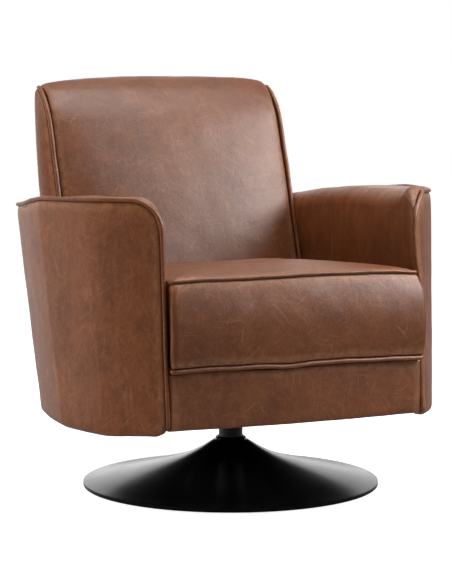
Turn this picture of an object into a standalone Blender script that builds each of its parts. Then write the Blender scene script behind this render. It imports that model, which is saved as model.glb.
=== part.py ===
"""Swivel accent chair: a leather tub with a high back, turning on a spun steel pedestal.

All lengths are metres. +Z is up, the chair faces -Y, and the origin is on the floor at the swivel axis.
Left is -X and right is +X, as seen by someone who stands in front of the chair.
"""

import math

import bmesh
import bpy
from mathutils import Matrix, Vector

# Air between pieces that touch, and between leather covered edges that meet in a seam
CLEARANCE = 0.0003
SEAM_GAP = 0.0008

# Tub: a slanted cone, given by its plan circle at the lower edge and at arm height
TUB_BOTTOM = 0.153
TUB_ARM_LEVEL = 0.570
TUB_LOW_RADIUS = 0.3880
TUB_ARM_RADIUS = 0.4128
TUB_LOW_CENTRE = -0.0290
TUB_ARM_CENTRE = 0.0372
TUB_EDGE_ROUND = 0.012
TUB_NOSE_LIFT = 0.014
TUB_NOSE_RUN = 0.190
OUTER_SKIN = 0.008
SEAT_HALF_WIDTH = 0.2655

# Piping: a welt cord sewn into leather
PIPING_RADIUS = 0.004
PIPING_SUNK = 0.002

# Arm: height of its outer edge at mid depth, its fall to the rear, and the rounded front corner
ARM_EDGE_HEIGHT = 0.5825
ARM_SLOPE_SHARE = 0.045
ARM_REAR_FALL = 0.034
ARM_CORNER_RUN = 0.048
ARM_CORNER_DROP = 0.056
ARM_FRONT_CROWN = 0.012
ARM_REAR_CROWN = 0.009
ARM_CROWN_WIDTH = 0.036
ARM_ROLL = 0.034
ARM_WALL = 0.012
ARM_TOP_PAD = 0.030
ARM_NOSE_WIDTH = 0.0045
ARM_PAD_GAP = 0.0022
ARM_NOSE_SHARES = (0, 0.012, 0.03, 0.055, 0.085)
ARM_NOSE_END_SHARE = 0.12
ARM_ROLL_SHARE = 0.6
ARM_WALL_SHARE = 0.7

# Back: the seam down each side of the inside back, from the seat to the top, seen from the side
BACK_SEAT_FOAM = 0.020
BACK_SEAT_HEIGHT = 0.274
BACK_EDGE_THICK = 0.0126
BACK_SEAM_HEIGHT = 0.787
BACK_SEAM_SHARES = (
    (0, 0),
    (0.223, 0.285),
    (0.364, 0.460),
    (0.496, 0.636),
    (0.580, 0.733),
    (0.659, 0.830),
    (0.709, 0.883),
    (0.782, 0.932),
    (0.859, 0.967),
    (0.936, 0.988),
    (1, 1),
)
BACK_PIPING_IN = 0.005
BACK_PIPING_X = SEAT_HALF_WIDTH - BACK_PIPING_IN
BACK_CROWN = 0.026
BACK_CROWN_POWER_SHARE = 0.7
BACK_SIDE_POWER = 2.6
BACK_TOP_RISE = 0.016
BACK_TOP_ROUND = 0.120
BACK_TOP_SHARES = (0.5, 0.85, 1)
BACK_SKIN_DROP = 0.013
BACK_SKIN = 0.010
BACK_SKIN_IN = 0.0015
BACK_SKIN_HALF = SEAT_HALF_WIDTH - BACK_SKIN_IN
BACK_LOW_BOW = 0.104
BACK_TOP_BOW = 0.058
BOXING_THICK = 0.0068
BOXING_BULGE = 0.014
BOXING_ABOVE_ARM = 0.0033
BOXING_BULGE_RISE = 0.018
BOXING_SHARES = ((0.35, 0.45), (0.70, 0.90), (0.92, 1.00), (1.00, 0.85))

# Seat cushion
CUSHION_SIDE_GAP = 0.0085
CUSHION_HALF_WIDTH = SEAT_HALF_WIDTH - CUSHION_SIDE_GAP
CUSHION_LOW_WELT = 0.2845
CUSHION_TOP_WELT = 0.4465
CUSHION_REAR_DROP = 0.034
CUSHION_LOW_PROUD = 0.0193
CUSHION_TOP_PROUD = 0.0142
CUSHION_FRONT_BOW = 0.009
CUSHION_BULGE = 0.016
CUSHION_CROWN = 0.026
CUSHION_CORNER = 0.009
CUSHION_LEVEL_SHARES = (0.25, 0.5, 0.75)
CUSHION_CROWN_SHARES = (0.86, 0.66, 0.40, 0.14)
CUSHION_CROWN_POWER = 2.4
CUSHION_EAR = 0.0055
CUSHION_EAR_RUN = 0.012
CUSHION_SIDE_DRAW = 0.004
WELT_BEVEL = 0.0125
CUSHION_BACK_GAP = 0.004

# Front border: the leather covered panel under the cushion
BORDER_BOTTOM = 0.172
BORDER_SIDE_GAP = 0.005
BORDER_HALF_WIDTH = SEAT_HALF_WIDTH - BORDER_SIDE_GAP
BORDER_BOW = 0.013
BORDER_EDGE = 0.010
BORDER_SWELL = 0.0012
BORDER_EDGE_SHARES = ((0, 0.60), (0.25, 0.21), (1, 0))

# Timber seat frame
RAIL_BOTTOM = 0.178
RAIL_HEIGHT = 0.088
RAIL_THICK = 0.022
FRONT_RAIL_SET_BACK = 0.0196
REAR_RAIL_COVER = 0.0713
SIDE_RAIL_COVER = 0.0101
BOARD_WIDTH = 0.060
BOARD_THICK = 0.022
BLOCK_LEG = 0.055
BLOCK_THICK = 0.040

# Timber arm frame
ARM_POST = 0.020
ARM_POST_DEPTH = 0.040
FRONT_POST_SET_BACK = 0.106
REAR_POST_SET_IN = 0.157
ARM_RAIL_THICK = 0.020
ARM_RAIL_SET_IN = 0.072

# Timber back frame
BACK_POST_IN = 0.0305
BACK_POST_X = SEAT_HALF_WIDTH - BACK_POST_IN
BACK_POST_WIDTH = 0.022
BACK_POST_DEPTH = 0.027
BACK_POST_DROP = 0.042
BACK_POST_COVER = 0.0438
BACK_RAIL_HEIGHT = 0.045
LUMBAR_RAIL_Z = 0.330
WEBBING_THICK = 0.002
WEBBING_WIDTH = 0.050
WEBBING_HEIGHT_SHARES = (0.29, 0.51, 0.72)

# Seat springs and the deck pad over them
SPRING_WIRE = 0.0018
SPRING_HALF_WIDTH = 0.022
SPRING_ENDS_IN = 0.010
SPRING_WAVES = 7
SPRING_PLACE_SHARES = (-0.68, -0.23, 0.23, 0.68)
DECK_THICK = 0.0096
DECK_MARGIN = 0.006

# Dust cover under the frame
DUST_COVER_THICK = 0.0012
DUST_COVER_MARGIN = 0.008
DUST_BOLT_HOLE = 0.006

# Swivel plate, its bolts and its spindle
PLATE_SIDE = 0.200
PLATE_THICK = 0.004
PLATE_CORNER = 0.015
BOLT_SPACING = 0.160
BOLT_RADIUS = 0.004
BOLT_HEAD_RADIUS = 0.0073
BOLT_HEAD_HEIGHT = 0.0053
BOLT_GRIP = 0.016
BOLT_PLAY = 0.0006
SPINDLE_RADIUS = 0.0125
SPINDLE_LOW_END = 0.018
HUB_RADIUS = 0.022
HUB_FLANGE_RADIUS = 0.036
HUB_FLANGE_THICK = 0.006

# Column, its bushes and bearing
COLUMN_RADIUS = 0.024
COLUMN_WALL = 0.0035
COLUMN_TOP = 0.1465
BUSH_LENGTH = 0.028
BUSH_FLANGE = 0.003
BUSH_PLAY = 0.0004
LOWER_BUSH_Z = 0.034
BEARING_RADIUS = 0.0235
BEARING_HEIGHT = 0.0045
CLIP_RADIUS = 0.0175
CLIP_THICK = 0.002

# Pedestal: pad, weight plate and the spun trumpet over it
DISC_RADIUS = 0.295
PAD_THICK = 0.002
WEIGHT_RADIUS = 0.2785
WEIGHT_THICK = 0.006
TRUMPET_SHEET = 0.0016
TRUMPET_RIM_BOTTOM = 0.0028
TRUMPET_RIM_TOP = 0.0105
TRUMPET_LIP = 0.014
TRUMPET_TOP = 0.0925
TRUMPET_TOP_RADIUS = 0.0310
TRUMPET_HEIGHT_SHARES = (
    (0.900, 0.062),
    (0.740, 0.178),
    (0.550, 0.320),
    (0.380, 0.462),
    (0.250, 0.592),
    (0.160, 0.710),
    (0.090, 0.822),
    (0.040, 0.920),
)
COLLAR_RADIUS = 0.0305
COLLAR_HEIGHT = 0.0062

# How finely round things are faceted
ROUND_SIDES = 40
SMALL_SIDES = 24
EDGE_STEPS = 6
SIDE_STEPS = 15

LEATHER = (0.235, 0.110, 0.062)
TIMBER = (0.55, 0.40, 0.24)
BLACK_PAINT = (0.012, 0.012, 0.013)
ZINC = (0.55, 0.56, 0.57)
BLACK_CLOTH = (0.03, 0.03, 0.03)
BROWN_FELT = (0.10, 0.07, 0.05)
PALE_PLASTIC = (0.80, 0.79, 0.74)


def finish(thing, colour, roughness, metallic):
    """Gives a piece its own material."""
    material = bpy.data.materials.new(thing.name + "_finish")
    material.use_nodes = True
    shader = material.node_tree.nodes["Principled BSDF"]
    shader.inputs["Base Color"].default_value = (*colour, 1)
    shader.inputs["Roughness"].default_value = roughness
    shader.inputs["Metallic"].default_value = metallic
    thing.data.materials.clear()
    thing.data.materials.append(material)


def leather(thing):
    finish(thing, LEATHER, 0.42, 0)


def timber(thing):
    finish(thing, TIMBER, 0.70, 0)


def black_paint(thing):
    finish(thing, BLACK_PAINT, 0.25, 0)


def zinc_steel(thing):
    finish(thing, ZINC, 0.35, 1)


def black_cloth(thing):
    finish(thing, BLACK_CLOTH, 0.95, 0)


def brown_felt(thing):
    finish(thing, BROWN_FELT, 0.95, 0)


def pale_plastic(thing):
    finish(thing, PALE_PLASTIC, 0.5, 0)


def place(name, mesh_maker, parent, look):
    """Makes a named object from a bmesh, with its faces turned outwards."""
    bmesh.ops.recalc_face_normals(mesh_maker, faces=mesh_maker.faces)
    mesh = bpy.data.meshes.new(name)
    mesh_maker.to_mesh(mesh)
    mesh_maker.free()
    thing = bpy.data.objects.new(name, mesh)
    bpy.context.scene.collection.objects.link(thing)
    thing.parent = parent
    look(thing)
    return thing


def loft(name, rings, parent, look, smooth=True):
    """Skins a row of rings, each a list of points in the same order, and caps both ends."""
    work = bmesh.new()
    rows = [[work.verts.new(point) for point in ring] for ring in rings]
    count = len(rings[0])
    for low, high in zip(rows, rows[1:]):
        for i in range(count):
            j = (i + 1) % count
            work.faces.new((low[i], low[j], high[j], high[i]))
    work.faces.new(rows[0])
    work.faces.new(rows[-1])
    thing = place(name, work, parent, look)
    if smooth:
        thing.data.shade_smooth()
        thing.data.set_sharp_from_angle(angle=math.radians(40))
    return thing


def turned(name, profile, parent, look, sides=ROUND_SIDES, hollow=False):
    """Turns a profile of radius and height pairs about the swivel axis.

    A hollow profile is a closed outline clear of the axis. Any other is capped at both ends.
    """
    rows = [
        [
            (radius * math.cos(2 * math.pi * i / sides), radius * math.sin(2 * math.pi * i / sides), height)
            for i in range(sides)
        ]
        for radius, height in profile
    ]
    if not hollow:
        return loft(name, rows, parent, look)
    work = bmesh.new()
    rings = [[work.verts.new(point) for point in row] for row in rows]
    for low, high in zip(rings, rings[1:] + rings[:1]):
        for i in range(sides):
            j = (i + 1) % sides
            work.faces.new((low[i], low[j], high[j], high[i]))
    thing = place(name, work, parent, look)
    thing.data.shade_smooth()
    thing.data.set_sharp_from_angle(angle=math.radians(40))
    return thing


def block(name, low, high, parent, look):
    """A straight box between two corners."""
    (x0, y0, z0), (x1, y1, z1) = low, high
    rings = [
        [(x0, y0, z), (x1, y0, z), (x1, y1, z), (x0, y1, z)]
        for z in (z0, z1)
    ]
    return loft(name, rings, parent, look, smooth=False)


def tube(name, points, radius, parent, look, closed=False):
    """A welt cord or wire along a row of points."""
    curve = bpy.data.curves.new(name, "CURVE")
    curve.dimensions = "3D"
    spline = curve.splines.new("POLY")
    spline.points.add(len(points) - 1)
    for point, spot in zip(spline.points, points):
        point.co = (*spot, 1)
    spline.use_cyclic_u = closed
    curve.bevel_depth = radius
    curve.bevel_resolution = 1
    curve.use_fill_caps = True
    thing = bpy.data.objects.new(name, curve)
    bpy.context.scene.collection.objects.link(thing)
    thing.parent = parent
    look(thing)
    return thing


def cut(thing, name, centre, radius, low, high):
    """Drills an upright round hole."""
    work = bmesh.new()
    bmesh.ops.create_cone(
        work,
        cap_ends=True,
        segments=SMALL_SIDES,
        radius1=radius,
        radius2=radius,
        depth=high - low,
        matrix=Matrix.Translation((*centre, (low + high) / 2)),
    )
    mesh = bpy.data.meshes.new(name)
    work.to_mesh(mesh)
    work.free()
    cutter = bpy.data.objects.new(name, mesh)
    bpy.context.scene.collection.objects.link(cutter)
    cutter.hide_render = True
    cutter.display_type = "WIRE"
    hole = thing.modifiers.new(name, "BOOLEAN")
    hole.object = cutter
    hole.operation = "DIFFERENCE"
    hole.solver = "EXACT"


def between(low, high, share):
    return low + (high - low) * share


def mirrored(points, side):
    """Puts points of the right side on the side asked for, +1 right and -1 left."""
    return [(side * x, y, z) for x, y, z in points]


SIDES = (("left", -1), ("right", 1))


def tub_plan(height):
    """Centre depth and radius of the tub's plan circle at a height."""
    share = (height - TUB_BOTTOM) / (TUB_ARM_LEVEL - TUB_BOTTOM)
    return (
        between(TUB_LOW_CENTRE, TUB_ARM_CENTRE, share),
        between(TUB_LOW_RADIUS, TUB_ARM_RADIUS, share),
    )


def edge_round(height):
    """How far the rounded lower edge draws in from the tub's side."""
    above = max(TUB_EDGE_ROUND - (height - TUB_BOTTOM), 0)
    return TUB_EDGE_ROUND - math.sqrt(max(TUB_EDGE_ROUND ** 2 - above ** 2, 0))


def tub_rear(x, height, inset=0):
    """Depth of the tub's rear surface at a distance from the middle."""
    centre, radius = tub_plan(height)
    return centre + math.sqrt((radius - inset) ** 2 - x ** 2)


def side_run(share, height, inset, front_x, rear_x):
    """Point on the right side of the tub, from its front end at share 0 to its rear end at 1."""
    centre, radius = tub_plan(height)
    reach = radius - inset
    front = math.asin(front_x / reach)
    rear = math.pi - math.asin(rear_x / reach)
    angle = between(front, rear, share)
    return reach * math.sin(angle), centre - reach * math.cos(angle)


def nose_depth(height, x=SEAT_HALF_WIDTH, inset=0):
    """Depth of the tub's front end at a distance from the middle."""
    centre, radius = tub_plan(height)
    return centre - math.sqrt((radius - inset) ** 2 - x ** 2)


def front_rail_face():
    """Depth of the front of the frame's front rail."""
    return nose_depth(RAIL_BOTTOM + RAIL_HEIGHT) + FRONT_RAIL_SET_BACK


def rear_rail_face():
    """Depth of the front of the frame's rear rail."""
    return tub_rear(BACK_SKIN_HALF, RAIL_BOTTOM) - REAR_RAIL_COVER


def back_top():
    """Height of the very top of the back."""
    return BACK_SEAM_HEIGHT + BACK_TOP_RISE


def back_skin_top():
    """Height of the outside back's upper edge."""
    return BACK_SEAM_HEIGHT - BACK_SKIN_DROP


def back_post_top():
    """Height of the leaning back posts' upper ends."""
    return BACK_SEAM_HEIGHT - BACK_POST_DROP


def side_length():
    """Length of the arm's outer edge from nose to rear seam, at arm height."""
    radius = TUB_ARM_RADIUS
    return radius * (math.pi - 2 * math.asin(SEAT_HALF_WIDTH / radius))


def arm_line(share):
    """Height of the arm's outer edge, away from the front corner."""
    depth = side_run(share, TUB_ARM_LEVEL, 0, SEAT_HALF_WIDTH, SEAT_HALF_WIDTH)[1]
    fall = ARM_REAR_FALL * (max(depth, 0) / TUB_ARM_RADIUS) ** 2
    return ARM_EDGE_HEIGHT - ARM_SLOPE_SHARE * depth - fall


def arm_edge(offset):
    """Share along the run and height of the arm's edge, an offset below the piping's centre."""
    length = side_length()
    edge = []
    for i in range(EDGE_STEPS):
        angle = math.pi / 2 * i / EDGE_STEPS
        run = ARM_CORNER_RUN - (ARM_CORNER_RUN - offset) * math.cos(angle)
        share = run / length
        height = arm_line(share) - ARM_CORNER_DROP + (ARM_CORNER_DROP - offset) * math.sin(angle)
        edge.append((share, height))
    start = ARM_CORNER_RUN / length
    for i in range(SIDE_STEPS + 1):
        share = between(start, 1, i / SIDE_STEPS)
        edge.append((share, arm_line(share) - offset))
    return edge


def edge_height(share, offset=0):
    """Height of the arm's edge at a share along the run, an offset below the piping's centre."""
    run = share * side_length()
    short = min(max(ARM_CORNER_RUN - run, 0) / (ARM_CORNER_RUN - offset), 1)
    return arm_line(share) - ARM_CORNER_DROP + (ARM_CORNER_DROP - offset) * math.sqrt(1 - short ** 2)


def tub_low(share):
    """Height of the tub's lower edge along an arm, which lifts towards the nose."""
    near = max(1 - share * side_length() / TUB_NOSE_RUN, 0)
    return TUB_BOTTOM + TUB_NOSE_LIFT * near ** 2 * (3 - 2 * near)


def build_outer_panels(parent):
    """The leather covered skins that wrap the arms from the nose round to the rear seam."""
    seam = PIPING_RADIUS + CLEARANCE
    front = SEAT_HALF_WIDTH + seam / 2
    rear = BACK_SKIN_HALF + SEAM_GAP
    for label, side in SIDES:
        rings = []
        for share, top in arm_edge(seam):
            low = tub_low(share)
            foot = low + TUB_EDGE_ROUND
            heights = [low, low + TUB_EDGE_ROUND / 4] + [between(foot, top, i / 4) for i in range(5)]
            ring = []
            for height in heights:
                inset = min(edge_round(height - low + TUB_BOTTOM), OUTER_SKIN)
                ring.append((*side_run(share, height, inset, front, rear), height))
            for height in (top, foot):
                ring.append((*side_run(share, height, OUTER_SKIN, front, rear), height))
            ring.append((*side_run(share, low, OUTER_SKIN + TUB_EDGE_ROUND, front, rear), low))
            rings.append(mirrored(ring, side))
        loft("outer_panel_" + label, rings, parent, leather)


def build_arm_piping(parent):
    """One welt cord per arm: up the nose, over the front corner and back along the outer edge."""
    rear = BACK_SKIN_HALF + SEAM_GAP
    last_share = 1 - (PIPING_RADIUS + SEAM_GAP) / side_length()
    for label, side in SIDES:
        points = []
        low = tub_low(0) + TUB_EDGE_ROUND
        corner = arm_edge(0)[0][1]
        for i in range(6):
            height = between(low, corner, i / 6)
            points.append((*side_run(0, height, PIPING_SUNK, SEAT_HALF_WIDTH, rear), height))
        for share, height in arm_edge(0):
            x, y = side_run(min(share, last_share), height, PIPING_SUNK, SEAT_HALF_WIDTH, rear)
            points.append((x, y, height))
        tube("arm_piping_" + label, mirrored(points, side), PIPING_RADIUS, parent, leather)


def arm_top_height(share, width):
    """Height of the arm's crown over its outer edge."""
    crown = between(ARM_FRONT_CROWN, ARM_REAR_CROWN, min(share * 2, 1))
    return edge_height(share) + crown * min(width / ARM_CROWN_WIDTH, 1)


def arm_under(share):
    """Height of the underside of the arm's top padding."""
    return edge_height(share) - ARM_TOP_PAD


def build_arm_pads(parent):
    """The inside and rolled top of each arm: leather and foam over the arm frame."""
    lip_inset = PIPING_SUNK + PIPING_RADIUS + SEAM_GAP
    skin_inset = OUTER_SKIN + ARM_PAD_GAP
    nose = SEAT_HALF_WIDTH + ARM_NOSE_WIDTH
    low = RAIL_BOTTOM + RAIL_HEIGHT + CLEARANCE
    shares = list(ARM_NOSE_SHARES) + [between(ARM_NOSE_END_SHARE, 1, i / 15) for i in range(16)]
    for label, side in SIDES:
        rings = []
        for share in shares:
            edge = edge_height(share)

            def spot(height, inset):
                return side_run(share, height, inset, nose, nose)

            def depth(height):
                return spot(height, skin_inset)[1]

            width = spot(edge, lip_inset)[0] - SEAT_HALF_WIDTH
            top = arm_top_height(share, width)
            roll = min(ARM_ROLL, width * ARM_ROLL_SHARE)
            ring = [(SEAT_HALF_WIDTH, depth(low), low)]
            ring.append((SEAT_HALF_WIDTH, depth(top - roll), top - roll))
            for i in range(1, 5):
                angle = math.pi / 2 * i / 4
                x = SEAT_HALF_WIDTH + roll * (1 - math.cos(angle))
                z = top - roll * (1 - math.sin(angle))
                ring.append((x, depth(z), z))
            outer = SEAT_HALF_WIDTH + width
            for i in (1, 2, 3):
                x = between(SEAT_HALF_WIDTH + roll, outer, i / 3)
                z = between(top, edge + CLEARANCE, (i / 3) ** 2)
                ring.append((x, depth(edge), z))
            shelf = edge_height(share, PIPING_RADIUS / 2)
            skin_x = spot(shelf, skin_inset)[0]
            wall = SEAT_HALF_WIDTH + min(ARM_WALL, (skin_x - SEAT_HALF_WIDTH) * ARM_WALL_SHARE)
            under = arm_under(share)
            ring.append((outer, depth(shelf), shelf))
            ring.append((skin_x, depth(shelf), shelf))
            ring.append((spot(under, skin_inset)[0], depth(under), under))
            ring.append((wall, depth(under), under))
            ring.append((wall, depth(low), low))
            rings.append(mirrored(ring, side))
        loft("arm_pad_" + label, rings, parent, leather)


def back_seam():
    """Depth and height of the points down the side seam of the inside back."""
    seat = rear_rail_face() - BACK_SEAT_FOAM
    top = tub_rear(BACK_SKIN_HALF, back_skin_top()) - BACK_EDGE_THICK
    return [
        (between(seat, top, depth_share), between(BACK_SEAT_HEIGHT, BACK_SEAM_HEIGHT, height_share))
        for depth_share, height_share in BACK_SEAM_SHARES
    ]


def back_line_at(height):
    """Depth of the back's side seam at a height."""
    line = back_seam()
    if height <= BACK_SEAT_HEIGHT:
        return line[0][0]
    for (y0, z0), (y1, z1) in zip(line, line[1:]):
        if height <= z1:
            return between(y0, y1, (height - z0) / (z1 - z0))
    return line[-1][0]


def back_bow(height):
    """How far the outside back bows out in plan between its side seams."""
    share = (height - TUB_BOTTOM) / (back_skin_top() - TUB_BOTTOM)
    return between(BACK_LOW_BOW, BACK_TOP_BOW, share)


def outside_back(share, height):
    """Depth of the outside back's surface at a share of its half width."""
    edge = tub_rear(BACK_SKIN_HALF, height)
    return edge + back_bow(height) * (1 - share ** 2) - edge_round(height)


def post_front(height):
    """Depth of the front of the leaning back posts."""
    low_y = rear_rail_face() + RAIL_THICK + CLEARANCE
    top_y = tub_rear(BACK_SKIN_HALF, back_post_top()) - BACK_POST_COVER
    return between(low_y, top_y, (height - RAIL_BOTTOM) / (back_post_top() - RAIL_BOTTOM))


def build_outside_back(parent):
    """The skin across the rear, from the lower edge to the top of the back."""
    foot = TUB_BOTTOM + TUB_EDGE_ROUND
    low = bulge_start()
    start = low + BOXING_BULGE_RISE
    heights = [TUB_BOTTOM, TUB_BOTTOM + TUB_EDGE_ROUND / 4, foot, between(foot, low, 0.5), low]
    heights += [between(start, back_skin_top(), i / 3) for i in range(4)]
    shares = [between(-1, 1, i / 12) for i in range(13)]
    rings = []
    for height in heights:
        half = BACK_SKIN_HALF + boxing_bulge(height) * BOXING_SHARES[-1][1]
        outer = [(share * half, outside_back(share, height), height) for share in shares]
        inner = []
        for share in reversed(shares):
            inside = outside_back(share, max(height, foot)) - BACK_SKIN
            inner.append((share * half, min(inside, outside_back(share, height) - CLEARANCE), height))
        rings.append(outer + inner)
    loft("outside_back_panel", rings, parent, leather)


def back_half(height):
    """Half width of the back pad, drawn in over the rounded top corners."""
    half = BACK_PIPING_X - PIPING_RADIUS - CLEARANCE
    share = max(height - BACK_SEAM_HEIGHT, 0) / BACK_TOP_RISE
    return half - BACK_TOP_ROUND * (1 - math.sqrt(max(1 - share ** 2, 0)))


def back_pad_heights(low, step, skin_step):
    """Heights of the back pad's rings, with a pair at each step in its rear face."""
    seam = [z for y, z in back_seam()]
    seat = CUSHION_TOP_WELT
    heights = [low, between(low, seat, 0.5), seat, between(seat, seam[3], 0.5)] + seam[3:]
    heights += [step, step + CLEARANCE, skin_step, skin_step + CLEARANCE]
    heights += [between(BACK_SEAM_HEIGHT, back_top(), share) for share in BACK_TOP_SHARES]
    return sorted(heights)


def build_back_pad(parent):
    """The crowned inside back: foam under one leather panel that rolls over the top."""
    low = RAIL_BOTTOM + RAIL_HEIGHT + 2 * SPRING_WIRE + 2 * CLEARANCE
    step = back_post_top() + CLEARANCE
    skin_step = back_skin_top() + CLEARANCE
    shares = [between(-1, 1, i / 14) for i in range(15)]
    rings = []
    for height in back_pad_heights(low, step, skin_step):
        half = back_half(height)
        rise = (height - low) / (back_top() - low)
        crown = BACK_CROWN * max(math.sin(math.pi * rise), 0) ** BACK_CROWN_POWER_SHARE
        over = max(height - BACK_SEAM_HEIGHT, 0) / BACK_TOP_RISE
        side_y = back_line_at(height) - PIPING_SUNK + 2 * BACK_SKIN * over ** 3
        front = [
            (share * half, side_y - crown * (1 - abs(share) ** BACK_SIDE_POWER), height) for share in shares
        ]
        rear = []
        for share in reversed(shares):
            if height <= step:
                y = post_front(height) - WEBBING_THICK - 2 * CLEARANCE
            elif height <= skin_step:
                y = outside_back(share * half / BACK_SKIN_HALF, height) - BACK_SKIN - SEAM_GAP
            else:
                y = outside_back(share * half / BACK_SKIN_HALF, back_skin_top()) - 2 * BACK_SKIN * over ** 2
            rear.append((share * half, y - CLEARANCE, height))
        rings.append(front + rear)
    loft("back_pad", rings, parent, leather)


def smooth_path(points, steps):
    """Reads points from a smooth curve through a few hand set ones."""
    spots = [Vector(point) for point in points]
    ends = [2 * spots[0] - spots[1]] + spots + [2 * spots[-1] - spots[-2]]
    path = []
    for a, b, c, d in zip(ends, ends[1:], ends[2:], ends[3:]):
        for i in range(steps):
            t = i / steps
            path.append(
                0.5 * (2 * b + (c - a) * t + (2 * a - 5 * b + 4 * c - d) * t ** 2
                       + (3 * b - a - 3 * c + d) * t ** 3)
            )
    path.append(spots[-1])
    return [tuple(point) for point in path]


def bulge_start():
    """Height at which the side boxing starts to swell, just above the arm's rear end."""
    return edge_height(1) + ARM_REAR_CROWN + BOXING_ABOVE_ARM


def boxing_bulge(height):
    """How far the stuffed side boxing swells out above the arms."""
    start = min(max((height - bulge_start()) / BOXING_BULGE_RISE, 0), 1)
    share = max(height - bulge_start(), 0) / (back_skin_top() - bulge_start())
    return BOXING_BULGE * start * (1 - min(share, 1) ** 2) ** 0.75


def boxing_heights():
    top = bulge_start()
    low = BACK_SEAT_HEIGHT
    heights = [low, between(low, top, 0.5), top, top + BOXING_BULGE_RISE / 2, top + BOXING_BULGE_RISE]
    start = heights[-1]
    end = back_seam()[-2][1]
    return heights + [between(start, end, i / 7) for i in range(1, 8)]


def behind_cord(height, offset):
    """Depth and height of the point an offset behind the back's side cord, square to it."""
    step = PIPING_RADIUS / 4
    lean = (back_line_at(height + step) - back_line_at(height)) / step
    stretch = math.hypot(1, lean)
    return back_line_at(height) + offset / stretch, height - offset * lean / stretch


def build_back_sides(parent):
    """Side boxing of the back, and the welt cord between it and the inside back."""
    seam = PIPING_RADIUS + CLEARANCE
    outer_x = BACK_PIPING_X + PIPING_RADIUS - SEAM_GAP
    inner_x = outer_x - BOXING_THICK
    for label, side in SIDES:
        tube(
            "back_piping_" + label,
            mirrored(smooth_path([(BACK_PIPING_X, y, z) for y, z in back_seam()], 2), side),
            PIPING_RADIUS,
            parent,
            leather,
        )
        rings = []
        for z in boxing_heights():
            front, front_z = behind_cord(z, seam + SEAM_GAP)
            rear_z = min(z, back_skin_top())
            rear = outside_back(1, rear_z) - BACK_SKIN - SEAM_GAP
            bulge = boxing_bulge(z)
            ring = [(inner_x, front, front_z), (outer_x, front, front_z)]
            for depth_share, bulge_share in BOXING_SHARES:
                x = outer_x + bulge * bulge_share
                ring.append((x, between(front, rear, depth_share), between(front_z, rear_z, depth_share)))
            ring.append((inner_x, rear, rear_z))
            rings.append(mirrored(ring, side))
        loft("back_boxing_" + label, rings, parent, leather)


def cushion_ring(level, inset, bulge, lift=0):
    """A ring round the seat cushion, from its lower welt at level 0 to its upper welt at level 1."""
    height = between(CUSHION_LOW_WELT, CUSHION_TOP_WELT, level)
    low_front = nose_depth(CUSHION_LOW_WELT) - CUSHION_LOW_PROUD
    top_front = nose_depth(CUSHION_TOP_WELT) - CUSHION_TOP_PROUD
    front = between(low_front, top_front, level) + inset - bulge
    ear_start = nose_depth(CUSHION_LOW_WELT) - PIPING_RADIUS - CLEARANCE
    rear = back_line_at(height - CUSHION_REAR_DROP * level) - BACK_CROWN - CUSHION_BACK_GAP - inset
    half = CUSHION_HALF_WIDTH - inset
    corner = max(CUSHION_CORNER - inset, CUSHION_CORNER / 4)
    points = []
    for cx, cy, start in (
        (half - corner, front + corner, -math.pi / 2),
        (half - corner, rear - corner, 0),
        (-half + corner, rear - corner, math.pi / 2),
        (-half + corner, front + corner, math.pi),
    ):
        for i in range(5):
            angle = start + math.pi / 2 * i / 4
            points.append((cx + corner * math.cos(angle), cy + corner * math.sin(angle)))
        if start == 0:
            points += [(between(half - corner, corner - half, i / 8), rear) for i in range(1, 8)]
        elif start == math.pi:
            points += [(between(corner - half, half - corner, i / 12), front) for i in range(1, 12)]
        else:
            ear = max(ear_start, front + corner + SEAM_GAP)
            depths = [between(ear, rear - corner, i / 7) for i in range(7)]
            if start < 0:
                points += [(half, y) for y in depths]
            else:
                points += [(-half, y) for y in reversed(depths)]
    shaped = []
    middle = (front + rear) / 2
    for x, y in points:
        bow = CUSHION_FRONT_BOW * (1 - (x / CUSHION_HALF_WIDTH) ** 2)
        nearness = max(0, (middle - y) / (middle - front)) ** 4
        draw = CUSHION_SIDE_DRAW * (1 - ((y - middle) / (middle - front)) ** 2) * abs(x) / half
        ear = CUSHION_EAR * min(max((ear_start - y) / CUSHION_EAR_RUN, 0), 1) * abs(x) / half
        drop = CUSHION_REAR_DROP * (y - front) / (rear - front) * level
        shaped.append((x + math.copysign(ear - draw, x), y - bow * nearness, height - drop + lift))
    return shaped


def build_seat_cushion(parent):
    """Box cushion: flat below, bulging front and sides, crowned top, a welt cord round each edge."""
    edge = WELT_BEVEL - PIPING_RADIUS
    rings = [cushion_ring(0, WELT_BEVEL, 0, -PIPING_RADIUS), cushion_ring(0, 0, 0, edge)]
    for level in CUSHION_LEVEL_SHARES:
        rings.append(cushion_ring(level, 0, CUSHION_BULGE * math.sin(math.pi * level)))
    rings.append(cushion_ring(1, 0, 0, -edge))
    rings.append(cushion_ring(1, WELT_BEVEL, 0, PIPING_RADIUS))
    rim = rings[-1]
    middle = [sum(point[k] for point in rim) / len(rim) for k in range(3)]
    for share in CUSHION_CROWN_SHARES:
        rise = (CUSHION_CROWN - PIPING_RADIUS) * (1 - share ** CUSHION_CROWN_POWER)
        rings.append([
            (between(middle[0], x, share), between(middle[1], y, share), between(middle[2], z, share) + rise)
            for x, y, z in rim
        ])
    loft("seat_cushion", rings, parent, leather)
    for label, level in (("lower", 0), ("upper", 1)):
        cord = cushion_ring(level, SEAM_GAP, 0)
        tube("cushion_piping_" + label, cord, PIPING_RADIUS, parent, leather, closed=True)


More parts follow.
